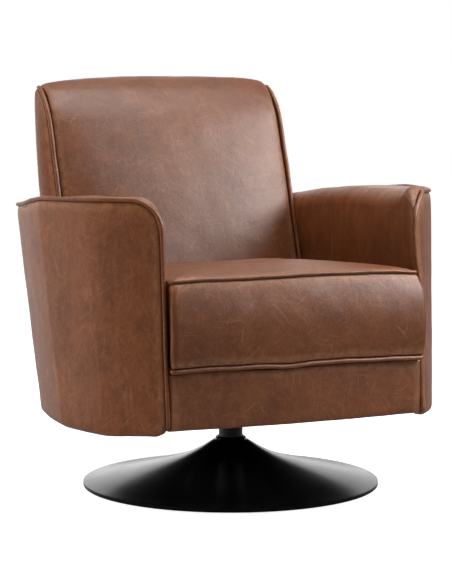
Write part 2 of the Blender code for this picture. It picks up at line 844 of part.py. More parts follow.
def build_border(parent):
    """The padded front border under the cushion."""
    top = CUSHION_LOW_WELT - PIPING_RADIUS - SEAM_GAP * 2
    side_front = nose_depth(between(BORDER_BOTTOM, top, 0.5)) + CLEARANCE
    rear = front_rail_face() - CLEARANCE
    edges = [(BORDER_BOTTOM + BORDER_EDGE * up, BORDER_EDGE * draw) for up, draw in BORDER_EDGE_SHARES]
    edges.append((between(BORDER_BOTTOM, top, 0.5), -BORDER_SWELL))
    edges += [(top - BORDER_EDGE * up, BORDER_EDGE * draw) for up, draw in reversed(BORDER_EDGE_SHARES)]
    rings = []
    for height, draw in edges:
        front = []
        for i in range(13):
            share = between(-1, 1, i / 12)
            y = side_front - BORDER_BOW * (1 - share ** 2) + draw
            front.append((share * BORDER_HALF_WIDTH, y, height))
        rings.append(front + [(BORDER_HALF_WIDTH, rear, height), (-BORDER_HALF_WIDTH, rear, height)])
    loft("front_border", rings, parent, leather)


def build_seat_frame(parent):
    """Four rails, corner blocks and the two boards that carry the swivel plate."""
    bottom = RAIL_BOTTOM
    top = RAIL_BOTTOM + RAIL_HEIGHT
    half = SEAT_HALF_WIDTH + SEAM_GAP - CLEARANCE
    front_back = front_rail_face() + RAIL_THICK
    for name, face in (("frame_front_rail", front_rail_face()), ("frame_rear_rail", rear_rail_face())):
        block(name, (-half, face, bottom), (half, face + RAIL_THICK, top), parent, timber)
    inner = half + CLEARANCE
    outer = inner + RAIL_THICK
    side_front = nose_depth(top, outer, OUTER_SKIN) + SIDE_RAIL_COVER
    side_rear = tub_rear(outer, bottom, OUTER_SKIN) - SIDE_RAIL_COVER
    for label, side in SIDES:
        low_x, high_x = sorted((side * inner, side * outer))
        block(
            "frame_side_rail_" + label, (low_x, side_front, bottom), (high_x, side_rear, top), parent, timber
        )
        for end, wall, way in (
            ("front", front_back + CLEARANCE, 1),
            ("rear", rear_rail_face() - CLEARANCE, -1),
        ):
            corner_x = inner - CLEARANCE
            base = (top + bottom - BLOCK_THICK) / 2
            legs = ((corner_x, wall), (corner_x - BLOCK_LEG, wall), (corner_x, wall + way * BLOCK_LEG))
            rings = [mirrored([(x, y, z) for x, y in legs], side) for z in (base, base + BLOCK_THICK)]
            loft("corner_block_" + end + "_" + label, rings, parent, timber, smooth=False)
        centre = side * BOLT_SPACING / 2
        board = block(
            "mounting_board_" + label,
            (centre - BOARD_WIDTH / 2, front_back + CLEARANCE, bottom),
            (centre + BOARD_WIDTH / 2, rear_rail_face() - CLEARANCE, bottom + BOARD_THICK),
            parent,
            timber,
        )
        for end, way in (("front", -1), ("rear", 1)):
            cut(
                board, "hole_board_" + end + "_" + label, (centre, way * BOLT_SPACING / 2),
                BOLT_RADIUS + BOLT_PLAY / 2, bottom - BOARD_THICK, bottom + BOLT_GRIP + CLEARANCE,
            )


def arm_rail_top(depth):
    """Height of the arm rail's top at a depth, just below the arm's padding."""
    centre, radius = tub_plan(ARM_EDGE_HEIGHT - ARM_TOP_PAD)
    reach = radius - OUTER_SKIN - ARM_PAD_GAP
    front = math.asin((SEAT_HALF_WIDTH + ARM_NOSE_WIDTH) / reach)
    angle = math.acos((centre - depth) / reach)
    return arm_under((angle - front) / (math.pi - 2 * front)) - 2 * SEAM_GAP


def build_arm_frames(parent):
    """A rail under each arm's top, on a front and a rear post."""
    inner = SEAT_HALF_WIDTH + ARM_WALL + CLEARANCE
    outer = inner + ARM_POST
    base = RAIL_BOTTOM + RAIL_HEIGHT + CLEARANCE
    middle_height = between(base, TUB_ARM_LEVEL, 0.5)
    front_post = nose_depth(middle_height) + FRONT_POST_SET_BACK
    rear_end = tub_rear(SEAT_HALF_WIDTH, middle_height)
    front = front_post - ARM_POST_DEPTH / 2
    for label, side in SIDES:
        rings = []
        for i in range(9):
            y = between(front, rear_end - ARM_RAIL_SET_IN, i / 8)
            top = arm_rail_top(y)
            low = top - ARM_RAIL_THICK
            rings.append(mirrored([(inner, y, low), (outer, y, low), (outer, y, top), (inner, y, top)], side))
        loft("arm_rail_" + label, rings, parent, timber, smooth=False)
        for end, middle in (("front", front_post), ("rear", rear_end - REAR_POST_SET_IN)):
            y0 = middle - ARM_POST_DEPTH / 2
            y1 = middle + ARM_POST_DEPTH / 2
            top0 = arm_rail_top(y0) - ARM_RAIL_THICK - SEAM_GAP
            top1 = arm_rail_top(y1) - ARM_RAIL_THICK - SEAM_GAP
            rings = [
                mirrored([(inner, y0, base), (outer, y0, base), (outer, y0, top0), (inner, y0, top0)], side),
                mirrored([(inner, y1, base), (outer, y1, base), (outer, y1, top1), (inner, y1, top1)], side),
            ]
            loft("arm_post_" + end + "_" + label, rings, parent, timber, smooth=False)


def leaning(name, x0, x1, low, high, front_gap, depth, parent, look):
    """A straight board that leans with the back posts."""
    rings = []
    for z in (low, high):
        y0 = post_front(z) + front_gap
        y1 = y0 + depth
        rings.append([(x0, y0, z), (x1, y0, z), (x1, y1, z), (x0, y1, z)])
    return loft(name, rings, parent, look, smooth=False)


def build_back_frame(parent):
    """Two leaning posts, a top rail, a lumbar rail and webbing across their fronts."""
    half = BACK_POST_WIDTH / 2
    for label, side in SIDES:
        middle = side * BACK_POST_X
        leaning(
            "back_post_" + label, middle - half, middle + half, RAIL_BOTTOM, back_post_top(), 0,
            BACK_POST_DEPTH, parent, timber,
        )
    gap = BACK_POST_X - half - CLEARANCE
    for name, top in (("back_top_rail", back_post_top()), ("back_lumbar_rail", LUMBAR_RAIL_Z)):
        leaning(
            name, -gap, gap, top - BACK_RAIL_HEIGHT, top, 0, BACK_POST_DEPTH, parent, timber
        )
    for i, share in enumerate(WEBBING_HEIGHT_SHARES):
        height = between(LUMBAR_RAIL_Z, back_post_top(), share)
        leaning(
            "back_webbing_" + str(i + 1), -BACK_POST_X - half, BACK_POST_X + half, height,
            height + WEBBING_WIDTH, -WEBBING_THICK - CLEARANCE, WEBBING_THICK, parent,
            black_cloth,
        )


def build_springs_and_deck(parent):
    """Sinuous springs from rail to rail, and the felt and foam deck that lies on them."""
    height = RAIL_BOTTOM + RAIL_HEIGHT + SPRING_WIRE + CLEARANCE
    front = front_rail_face() + SPRING_ENDS_IN
    rear = rear_rail_face() + RAIL_THICK - SPRING_ENDS_IN
    for i, share_across in enumerate(SPRING_PLACE_SHARES):
        x = share_across * SEAT_HALF_WIDTH
        points = []
        steps = SPRING_WAVES * 6
        for k in range(steps + 1):
            share = k / steps
            swing = math.sin(2 * math.pi * SPRING_WAVES * share)
            points.append((x + SPRING_HALF_WIDTH * swing, between(front, rear, share), height))
        spring = tube(
            "seat_spring_" + str(i + 1), points, SPRING_WIRE, parent, zinc_steel
        )
        spring.data.bevel_resolution = 0
    low = height + SPRING_WIRE + CLEARANCE
    block(
        "seat_deck",
        (-SEAT_HALF_WIDTH + DECK_MARGIN, front_rail_face(), low),
        (SEAT_HALF_WIDTH - DECK_MARGIN, rear_rail_face() - BACK_SEAT_FOAM - DECK_MARGIN, low + DECK_THICK),
        parent,
        brown_felt,
    )


def build_dust_cover(parent):
    """Black cloth stapled under the frame, with holes for the swivel plate's bolts."""
    top = RAIL_BOTTOM - CLEARANCE
    low = top - DUST_COVER_THICK
    centre, radius = tub_plan(low)
    reach = radius - OUTER_SKIN - DUST_COVER_MARGIN
    start = math.acos((centre - front_rail_face()) / reach)
    count = 46
    outline = []
    for i in range(count + 1):
        angle = between(start, 2 * math.pi - start, i / count)
        outline.append((reach * math.sin(angle), centre - reach * math.cos(angle)))
    rings = [[(x, y, z) for x, y in outline] for z in (low, top)]
    cover = loft("dust_cover", rings, parent, black_cloth, smooth=False)
    for label, side in SIDES:
        for end, way in (("front", -1), ("rear", 1)):
            cut(
                cover, "hole_cover_" + end + "_" + label,
                (side * BOLT_SPACING / 2, way * BOLT_SPACING / 2), DUST_BOLT_HOLE,
                low - DUST_COVER_THICK, top + DUST_COVER_THICK,
            )


def rounded_square(side, corner, height):
    half = side / 2
    points = []
    for sx, sy, start in ((1, -1, -math.pi / 2), (1, 1, 0), (-1, 1, math.pi / 2), (-1, -1, math.pi)):
        for i in range(4):
            angle = start + math.pi / 2 * i / 3
            points.append(
                (
                    sx * (half - corner) + corner * math.cos(angle),
                    sy * (half - corner) + corner * math.sin(angle),
                    height,
                )
            )
    return points


def plate_top():
    """Height of the swivel plate's upper face, under the dust cover."""
    return RAIL_BOTTOM - 2 * CLEARANCE - DUST_COVER_THICK


def bolt_ring(centre, radius, height, hexagon):
    """Twelve points round a bolt: a hexagon's corners and flats, or a circle."""
    points = []
    for i in range(12):
        reach = radius * math.cos(math.pi / 6) if hexagon and i % 2 else radius
        angle = math.pi / 6 * i
        points.append((centre[0] + reach * math.cos(angle), centre[1] + reach * math.sin(angle), height))
    return points


def build_swivel_head(parent):
    """Swivel plate, its four bolts, and the spindle that turns in the column."""
    top = plate_top()
    low = top - PLATE_THICK
    plate = loft(
        "swivel_plate", [rounded_square(PLATE_SIDE, PLATE_CORNER, z) for z in (low, top)], parent,
        black_paint, smooth=False,
    )
    for label, side in SIDES:
        for end, way in (("front", -1), ("rear", 1)):
            spot = (side * BOLT_SPACING / 2, way * BOLT_SPACING / 2)
            cut(
                plate, "hole_plate_" + end + "_" + label, spot, BOLT_RADIUS + BOLT_PLAY,
                low - PLATE_THICK, top + PLATE_THICK,
            )
            head_top = low - CLEARANCE
            head_low = head_top - BOLT_HEAD_HEIGHT
            tip = RAIL_BOTTOM + BOLT_GRIP
            rings = [
                bolt_ring(spot, BOLT_HEAD_RADIUS, head_low, True),
                bolt_ring(spot, BOLT_HEAD_RADIUS, head_top, True),
                bolt_ring(spot, BOLT_RADIUS, head_top, False),
                bolt_ring(spot, BOLT_RADIUS, tip, False),
            ]
            loft("plate_bolt_" + end + "_" + label, rings, parent, zinc_steel)
    hub_low = COLUMN_TOP + BUSH_FLANGE + BEARING_HEIGHT + 3 * CLEARANCE
    flange_top = low - CLEARANCE
    turned(
        "spindle",
        [
            (SPINDLE_RADIUS - SPINDLE_RADIUS / 8, SPINDLE_LOW_END),
            (SPINDLE_RADIUS, SPINDLE_LOW_END + SPINDLE_RADIUS / 8),
            (SPINDLE_RADIUS, hub_low),
            (HUB_RADIUS, hub_low),
            (HUB_RADIUS, flange_top - HUB_FLANGE_THICK),
            (HUB_FLANGE_RADIUS, flange_top - HUB_FLANGE_THICK / 2),
            (HUB_FLANGE_RADIUS, flange_top),
        ],
        parent,
        zinc_steel,
        sides=SMALL_SIDES,
    )
    clip_top = LOWER_BUSH_Z - CLEARANCE
    bore = SPINDLE_RADIUS + BUSH_PLAY
    turned(
        "retaining_clip",
        [
            (bore, clip_top - CLIP_THICK),
            (CLIP_RADIUS, clip_top - CLIP_THICK),
            (CLIP_RADIUS, clip_top),
            (bore, clip_top),
        ],
        parent,
        zinc_steel,
        sides=SMALL_SIDES,
        hollow=True,
    )


def build_column(parent):
    """Steel tube with its bushes, the thrust bearing and the collar where it enters the base."""
    foot = PAD_THICK + WEIGHT_THICK + 2 * CLEARANCE
    bore = COLUMN_RADIUS - COLUMN_WALL
    turned(
        "column_tube",
        [(bore, foot), (COLUMN_RADIUS, foot), (COLUMN_RADIUS, COLUMN_TOP), (bore, COLUMN_TOP)],
        parent,
        black_paint,
        hollow=True,
    )
    shaft = SPINDLE_RADIUS + BUSH_PLAY
    body = bore - CLEARANCE
    seat = COLUMN_TOP + CLEARANCE
    turned(
        "upper_bush",
        [
            (shaft, COLUMN_TOP - BUSH_LENGTH),
            (body, COLUMN_TOP - BUSH_LENGTH),
            (body, seat),
            (COLUMN_RADIUS - CLEARANCE, seat),
            (COLUMN_RADIUS - CLEARANCE, seat + BUSH_FLANGE),
            (shaft, seat + BUSH_FLANGE),
        ],
        parent,
        pale_plastic,
        sides=SMALL_SIDES,
        hollow=True,
    )
    turned(
        "lower_bush",
        [
            (shaft, LOWER_BUSH_Z),
            (body, LOWER_BUSH_Z),
            (body, LOWER_BUSH_Z + BUSH_LENGTH),
            (shaft, LOWER_BUSH_Z + BUSH_LENGTH),
        ],
        parent,
        pale_plastic,
        sides=SMALL_SIDES,
        hollow=True,
    )
    race = seat + BUSH_FLANGE + CLEARANCE
    turned(
        "thrust_bearing",
        [
            (shaft, race),
            (BEARING_RADIUS, race),
            (BEARING_RADIUS, race + BEARING_HEIGHT),
            (shaft, race + BEARING_HEIGHT),
        ],
        parent,
        zinc_steel,
        sides=SMALL_SIDES,
        hollow=True,
    )
    low = TRUMPET_TOP + CLEARANCE
    inside = COLUMN_RADIUS + CLEARANCE
    middle = (inside + COLLAR_RADIUS) / 2
    spread = (COLLAR_RADIUS - inside) / 2
    profile = []
    for i in range(8):
        angle = 2 * math.pi * (i + 0.5) / 8
        scale = 1 / math.cos(math.pi / 8)
        profile.append(
            (
                middle + spread * math.cos(angle) * scale,
                low + COLLAR_HEIGHT / 2 * (1 + math.sin(angle) * scale),
            )
        )
    turned("column_collar", profile, parent, black_paint, sides=SMALL_SIDES, hollow=True)


def build_base(parent):
    """Floor pad, weight plate and the spun trumpet that covers it."""
    turned("floor_pad", [(WEIGHT_RADIUS, 0), (WEIGHT_RADIUS, PAD_THICK)], parent, black_cloth)
    low = PAD_THICK + CLEARANCE
    turned("weight_plate", [(WEIGHT_RADIUS, low), (WEIGHT_RADIUS, low + WEIGHT_THICK)], parent, black_paint)
    rise = TRUMPET_TOP - TRUMPET_RIM_TOP
    reach = DISC_RADIUS - TRUMPET_TOP_RADIUS
    outside = [(DISC_RADIUS, TRUMPET_RIM_TOP)]
    for radius_share, height_share in TRUMPET_HEIGHT_SHARES:
        outside.append((TRUMPET_TOP_RADIUS + reach * radius_share, TRUMPET_RIM_TOP + rise * height_share))
    outside.append((TRUMPET_TOP_RADIUS, TRUMPET_TOP))
    mouth = COLUMN_RADIUS + 2 * CLEARANCE
    inside = [(mouth, TRUMPET_TOP), (mouth, TRUMPET_TOP - TRUMPET_SHEET)]
    bends = list(zip(outside, outside[1:], outside[2:]))
    for (r0, z0), (r1, z1), (r2, z2) in reversed(bends[::2]):
        run, climb = r0 - r2, z2 - z0
        length = math.hypot(run, climb)
        inside.append((r1 - TRUMPET_SHEET * climb / length, z1 - TRUMPET_SHEET * run / length))
    inside.append((DISC_RADIUS - TRUMPET_SHEET, TRUMPET_RIM_TOP - TRUMPET_SHEET))
    inside.append((DISC_RADIUS - TRUMPET_SHEET, TRUMPET_RIM_BOTTOM + TRUMPET_SHEET))
    inside.append((DISC_RADIUS - TRUMPET_LIP, TRUMPET_RIM_BOTTOM + TRUMPET_SHEET))
    inside.append((DISC_RADIUS - TRUMPET_LIP, TRUMPET_RIM_BOTTOM))
    inside.append((DISC_RADIUS - TRUMPET_SHEET, TRUMPET_RIM_BOTTOM))
    inside.append((DISC_RADIUS, TRUMPET_RIM_BOTTOM + TRUMPET_SHEET))
    turned("base_trumpet", outside + inside, parent, black_paint, hollow=True)


def main():
    for thing in list(bpy.data.objects):
        bpy.data.objects.remove(thing, do_unlink=True)
    pedestal = bpy.data.objects.new("pedestal_frame", None)
    seat = bpy.data.objects.new("swivel_axis", None)
    for empty in (pedestal, seat):
        bpy.context.scene.collection.objects.link(empty)
    build_base(pedestal)
    build_column(pedestal)
    build_swivel_head(seat)
    build_dust_cover(seat)
    build_seat_frame(seat)
    build_arm_frames(seat)
    build_back_frame(seat)
    build_springs_and_deck(seat)
    build_outer_panels(seat)
    build_arm_pads(seat)
    build_arm_piping(seat)
    build_outside_back(seat)
    build_back_pad(seat)
    build_back_sides(seat)
    build_border(seat)
    build_seat_cushion(seat)


main()
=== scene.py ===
# %% [markdown]
# # A leather swivel chair, dressed over its frame
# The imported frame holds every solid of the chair: the steel pedestal, the timber frame, the springs and
# plain blocks for the upholstery. This lesson keeps the hard pieces, gives each one a finish, and makes
# the leather anew with seams, rolled edges, puckers and creases. Lengths are metres, +Z is up, and the
# chair faces -Y.
# %% Load the frame
import math

import bmesh
import bpy
import numpy as np
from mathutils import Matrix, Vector, noise


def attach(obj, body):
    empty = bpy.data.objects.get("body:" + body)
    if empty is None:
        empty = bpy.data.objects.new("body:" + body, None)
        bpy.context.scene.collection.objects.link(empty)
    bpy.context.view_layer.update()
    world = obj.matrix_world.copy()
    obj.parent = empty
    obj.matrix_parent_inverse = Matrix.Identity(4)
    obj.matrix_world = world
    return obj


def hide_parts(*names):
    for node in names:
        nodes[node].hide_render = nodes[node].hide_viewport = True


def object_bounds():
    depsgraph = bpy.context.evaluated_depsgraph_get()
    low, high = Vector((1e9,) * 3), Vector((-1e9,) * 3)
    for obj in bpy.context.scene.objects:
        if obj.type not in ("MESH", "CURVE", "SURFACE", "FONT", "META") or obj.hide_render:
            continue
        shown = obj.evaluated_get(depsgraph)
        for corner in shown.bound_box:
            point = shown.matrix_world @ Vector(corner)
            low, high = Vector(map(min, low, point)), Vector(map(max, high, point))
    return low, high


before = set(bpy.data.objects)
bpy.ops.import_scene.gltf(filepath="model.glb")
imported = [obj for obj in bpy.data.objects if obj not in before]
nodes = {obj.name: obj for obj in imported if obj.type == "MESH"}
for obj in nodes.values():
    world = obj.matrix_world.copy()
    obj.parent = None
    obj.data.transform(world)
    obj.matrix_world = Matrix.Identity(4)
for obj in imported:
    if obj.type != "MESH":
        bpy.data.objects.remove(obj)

cad_low, cad_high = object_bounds()
print("frame nodes:", len(nodes), "box:", [round(v, 3) for v in (*cad_low, *cad_high)])

# %% [markdown]
# ## The camera
# A long lens from well back shows a product with little distortion. The camera stands to the chair's left,
# a little above seat height, and looks slightly down, so a place, a turn and a dip say it all.
# %% Place the camera
CAMERA_PLACE = (-2.0222, -4.4445, 0.9632)
CAMERA_TURN = -24.356
CAMERA_DIP = 6.716
CAMERA_LENS = 152.44

camera_data = bpy.data.cameras.new("studio_camera")
camera_data.lens = CAMERA_LENS
camera = bpy.data.objects.new("studio_camera", camera_data)
camera.location = CAMERA_PLACE
camera.rotation_euler = (math.radians(90 - CAMERA_DIP), 0, math.radians(CAMERA_TURN))
bpy.context.scene.collection.objects.link(camera)
bpy.context.scene.camera = camera
print("camera turned", CAMERA_TURN, "and dipped", CAMERA_DIP)

# %% [markdown]
# ## Effects that several finishes share
# Clouds of colour, pale scuffs, pebbled grain, weave and dust come back in more than one material. Each is
# a shader node group with its own inputs, so a material says only how large and how strong it wants it.
# A few helpers add nodes and join sockets, because building them by hand takes the same calls each time.
# %% A helper that builds node groups
def new_group(name, inputs, outputs):
    """Starts a shader group with float inputs that have defaults, a vector input, and float outputs."""
    group = bpy.data.node_groups.new(name, "ShaderNodeTree")
    group.interface.new_socket("Place", in_out="INPUT", socket_type="NodeSocketVector")
    for label, value in inputs:
        socket = group.interface.new_socket(label, in_out="INPUT", socket_type="NodeSocketFloat")
        socket.default_value = value
    for label in outputs:
        group.interface.new_socket(label, in_out="OUTPUT", socket_type="NodeSocketFloat")
    return group, group.nodes.new("NodeGroupInput").outputs, group.nodes.new("NodeGroupOutput").inputs


def add(tree, kind, settings=None, **sockets):
    """Adds a node, sets its properties, and fills inputs with values or with other nodes' outputs."""
    node = tree.nodes.new("ShaderNode" + kind)
    for key, value in (settings or {}).items():
        setattr(node, key, value)
    for label, value in sockets.items():
        key = int(label[1:]) if label[0] == "_" else label.replace("_", " ")
        if isinstance(value, bpy.types.NodeSocket):
            tree.links.new(value, node.inputs[key])
        else:
            node.inputs[key].default_value = value
    return node


def math_node(tree, operation, first, second=0.0, clamp=False):
    """Joins two values by a sum, product or other operation."""
    return add(tree, "Math", {"operation": operation, "use_clamp": clamp}, _0=first, _1=second).outputs[0]


def times(tree, value, factor):
    """A value taken so many times."""
    return math_node(tree, "MULTIPLY", value, factor)


def plus(tree, first, second, clamp=False):
    """The sum of two values."""
    return math_node(tree, "ADD", first, second, clamp)


def ramp(tree, value, low, high, out_low=0.0, out_high=1.0):
    """Spreads the values between low and high over out_low to out_high, with soft ends."""
    node = add(tree, "MapRange", {"interpolation_type": "SMOOTHSTEP"}, Value=value, From_Min=low,
               From_Max=high, To_Min=out_low, To_Max=out_high)
    return node.outputs["Result"]


def noise_value(tree, place, scale, detail=3.0, roughness=0.5, distortion=0.0):
    """A cloud of values around one half."""
    return add(tree, "TexNoise", Vector=place, Scale=scale, Detail=detail, Roughness=roughness,
               Distortion=distortion).outputs["Fac"]


print("helpers for node groups are ready")

# %% Cloudy colour and pale scuffs
CLOUD_SIZES = ((1.0, 0.48, 0.60), (4.3, 0.30, 0.70), (17.0, 0.22, 0.75))
SCUFF_TURNS = (0.20, 0.95, 1.75, 2.60)
SCUFF_STRETCH = (1.0, 0.065, 1.0)


def make_clouds():
    """Soft blotches of three sizes, as in waxed hides that lighten where they are pulled."""
    group, given, out = new_group("pull_up_clouds", [("Scale", 12.0), ("Contrast", 0.5)], ["Mask"])
    total = 0.0
    for finer, weight, rough in CLOUD_SIZES:
        size = times(group, given["Scale"], finer)
        cloud = noise_value(group, given["Place"], size, 5.0, rough, 0.7)
        total = plus(group, total, times(group, cloud, weight))
    spread = times(group, math_node(group, "SUBTRACT", total, 0.5), given["Contrast"])
    result = plus(group, times(group, spread, 10.0), 0.5, clamp=True)
    group.links.new(result, out["Mask"])
    return group


def make_scuffs():
    """Thin, nearly straight pale strokes in several directions, where the hide was rubbed."""
    group, given, out = new_group("pale_scuffs", [("Scale", 180.0), ("Amount", 0.5)], ["Mask"])
    bend = add(group, "TexNoise", Vector=given["Place"], Scale=26.0, Detail=2.0)
    shift = add(group, "VectorMath", {"operation": "SCALE"}, _0=bend.outputs["Color"], Scale=0.011)
    bent = add(group, "VectorMath", {"operation": "ADD"}, _0=given["Place"], _1=shift.outputs[0])
    total = 0.0
    limit = math_node(group, "SUBTRACT", 0.75, times(group, given["Amount"], 0.5))
    for turn in SCUFF_TURNS:
        laid = add(group, "VectorRotate", {"rotation_type": "Z_AXIS"}, Vector=bent.outputs[0], Angle=turn)
        drawn = add(group, "VectorMath", {"operation": "MULTIPLY"}, _0=laid.outputs[0], _1=SCUFF_STRETCH)
        stroke = noise_value(group, drawn.outputs[0], given["Scale"], 1.0)
        patch = noise_value(group, laid.outputs[0], 21.0, 2.0)
        part = ramp(group, patch, limit, plus(group, limit, 0.2))
        line = times(group, ramp(group, stroke, 0.57, 0.82), part)
        total = math_node(group, "MAXIMUM", total, line)
    group.links.new(total, out["Mask"])
    return group


def make_pebbles():
    """The grain of a hide: small rounded cells with valleys between them, and a few longer folds."""
    group, given, out = new_group("pebbled_grain", [("Scale", 620.0), ("Folds", 0.4)], ["Height"])
    cells = add(group, "TexVoronoi", {"feature": "SMOOTH_F1"}, Vector=given["Place"], Scale=given["Scale"],
                Smoothness=0.4)
    pebble = math_node(group, "SUBTRACT", 1.0, cells.outputs["Distance"])
    fold_scale = times(group, given["Scale"], 0.16)
    fold = noise_value(group, given["Place"], fold_scale, 5.0, 0.6, 1.2)
    height = plus(group, pebble, times(group, fold, given["Folds"]))
    group.links.new(height, out["Height"])
    return group


CLOUDS = make_clouds()
SCUFFS = make_scuffs()
PEBBLES = make_pebbles()
print("shared leather effects:", CLOUDS.name, SCUFFS.name, PEBBLES.name)

# %% Wood grain, weave, brushing and dust
def make_wood_grain():
    """Long streaks for planed timber, along Y of the given place."""
    group, given, out = new_group("planed_grain", [("Scale", 9.0)], ["Mask", "Height"])
    squeezed = add(group, "Mapping", Vector=given["Place"], Scale=(14.0, 1.2, 14.0))
    streak = noise_value(group, squeezed.outputs[0], given["Scale"], 5.0, 0.65, 0.8)
    pore = noise_value(group, squeezed.outputs[0], times(group, given["Scale"], 9.0), 2.0)
    group.links.new(ramp(group, streak, 0.3, 0.7), out["Mask"])
    group.links.new(plus(group, streak, times(group, pore, 0.5)), out["Height"])
    return group


def make_weave():
    """Crossed threads for woven cloth."""
    group, given, out = new_group("plain_weave", [("Threads", 700.0)], ["Mask", "Height"])
    waves = []
    for direction in ("X", "Y"):
        wave = add(group, "TexWave", {"bands_direction": direction}, Vector=given["Place"],
                   Scale=given["Threads"], Distortion=0.4, Detail_Scale=2.0)
        waves.append(wave.outputs["Fac"])
    height = math_node(group, "MAXIMUM", waves[0], waves[1])
    lint = noise_value(group, given["Place"], 60.0, 4.0)
    group.links.new(times(group, height, ramp(group, lint, 0.2, 0.8, 0.6, 1.0)), out["Mask"])
    group.links.new(height, out["Height"])
    return group


def make_brushing():
    """Turned metal: faint rings about the upright axis, and blotches of handling."""
    group, given, out = new_group("turned_marks", [("Rings", 900.0), ("Blotch", 30.0)], ["Mask", "Height"])
    rings = add(group, "TexWave", {"wave_type": "RINGS", "rings_direction": "Z"}, Vector=given["Place"],
                Scale=given["Rings"], Distortion=1.5, Detail=2.0)
    blotch = noise_value(group, given["Place"], given["Blotch"], 5.0, 0.6)
    group.links.new(ramp(group, blotch, 0.3, 0.75), out["Mask"])
    group.links.new(rings.outputs["Fac"], out["Height"])
    return group


def make_dust():
    """Dust that lies on faces that look up, in soft patches."""
    group, given, out = new_group("settled_dust", [("Amount", 0.3), ("Scale", 24.0)], ["Mask"])
    facing = add(group, "NewGeometry").outputs["Normal"]
    up = add(group, "SeparateXYZ", Vector=facing).outputs["Z"]
    patch = noise_value(group, given["Place"], given["Scale"], 6.0, 0.65)
    lying = times(group, ramp(group, up, 0.5, 1.0), ramp(group, patch, 0.35, 0.75))
    group.links.new(times(group, lying, given["Amount"]), out["Mask"])
    return group


WOOD_GRAIN = make_wood_grain()
WEAVE = make_weave()
BRUSHING = make_brushing()
DUST = make_dust()
print("other shared effects:", WOOD_GRAIN.name, WEAVE.name, BRUSHING.name, DUST.name)

# %% [markdown]
# ## The leather
# The hide is a waxed mid brown. Where it is stretched or rubbed the wax breaks and the brown goes paler, in
# clouds and in short fine lines. A pale band a little way from each seam is partly such wear and partly a
# painted highlight where the puckers would catch the light, and a painted shade darkens the leather where
# it dives into a seam. The colour is therefore mixed from a dark and a warm brown by the clouds, then
# lightened by scuffs of two sizes and by the painted seam highlight, then darkened near the seams by the
# painted shade. A photograph of leather could be laid on instead, but it would show the same marks on every
# piece.
# Two attributes of the meshes steer it: "hide" says where a point lies in the flat hide, so that the marks
# run with the leather, and "seam" says how far it is from a seam. Gloss varies with the same clouds.
# %% Helpers for materials
def use(tree, group, place, **values):
    """Places a shared effect in a material with its own values."""
    node = tree.nodes.new("ShaderNodeGroup")
    node.node_tree = group
    tree.links.new(place, node.inputs["Place"])
    for label, value in values.items():
        node.inputs[label].default_value = value
    return node.outputs


def blend(tree, factor, first, second):
    """Mixes two colours by a mask."""
    node = add(tree, "Mix", {"data_type": "RGBA"}, Factor=factor)
    for socket, colour in ((node.inputs["A"], first), (node.inputs["B"], second)):
        if isinstance(colour, bpy.types.NodeSocket):
            tree.links.new(colour, socket)
        else:
            socket.default_value = (*colour, 1)
    return node.outputs["Result"]


def new_material(name):
    """A material with its principled shader and the object's own coordinates."""
    material = bpy.data.materials.new(name)
    material.use_nodes = True
    tree = material.node_tree
    place = add(tree, "TexCoord").outputs["Object"]
    return material, tree, tree.nodes["Principled BSDF"], place


def drive(tree, shader, colour=None, roughness=None, heights=(), depth=0.0002):
    """Links colour, roughness and a sum of heights to a shader."""
    if colour is not None:
        tree.links.new(colour, shader.inputs["Base Color"])
    if roughness is not None:
        tree.links.new(roughness, shader.inputs["Roughness"])
    if heights:
        total = heights[0]
        for height in heights[1:]:
            total = plus(tree, total, height)
        bump = add(tree, "Bump", Height=total, Strength=1.0, Distance=depth)
        tree.links.new(bump.outputs["Normal"], shader.inputs["Normal"])


print("helpers for materials are ready")

# %% One hide
LEATHER_DARK = (0.062, 0.0165, 0.0045)
LEATHER_WARM = (0.185, 0.056, 0.0155)
LEATHER_PALE = (0.35, 0.165, 0.080)
LEATHER_SEAM_SHADE = (0.018, 0.006, 0.0025)
LEATHER_SHINE = 0.34
CLOUD_SCALE, MOTTLE_SCALE, GRAIN_SCALE = 8.0, 70.0, 560.0
SCUFFS_LAID_ON = ((170.0, 0.18), (380.0, 0.11))
SCUFF_AMOUNT = 0.66
STREAK_SCALE, STREAK_STRETCH = 75.0, 0.11
SEAM_SHADE_REACH = 0.0035
RIDGE_NEAR, RIDGE_FAR, RIDGE_WEAR_AND_HIGHLIGHT = (0.002, 0.006), (0.008, 0.022), 0.35
GLOSS_DARK, GLOSS_WARM, GLOSS_RUBBED = 0.47, 0.39, 0.15


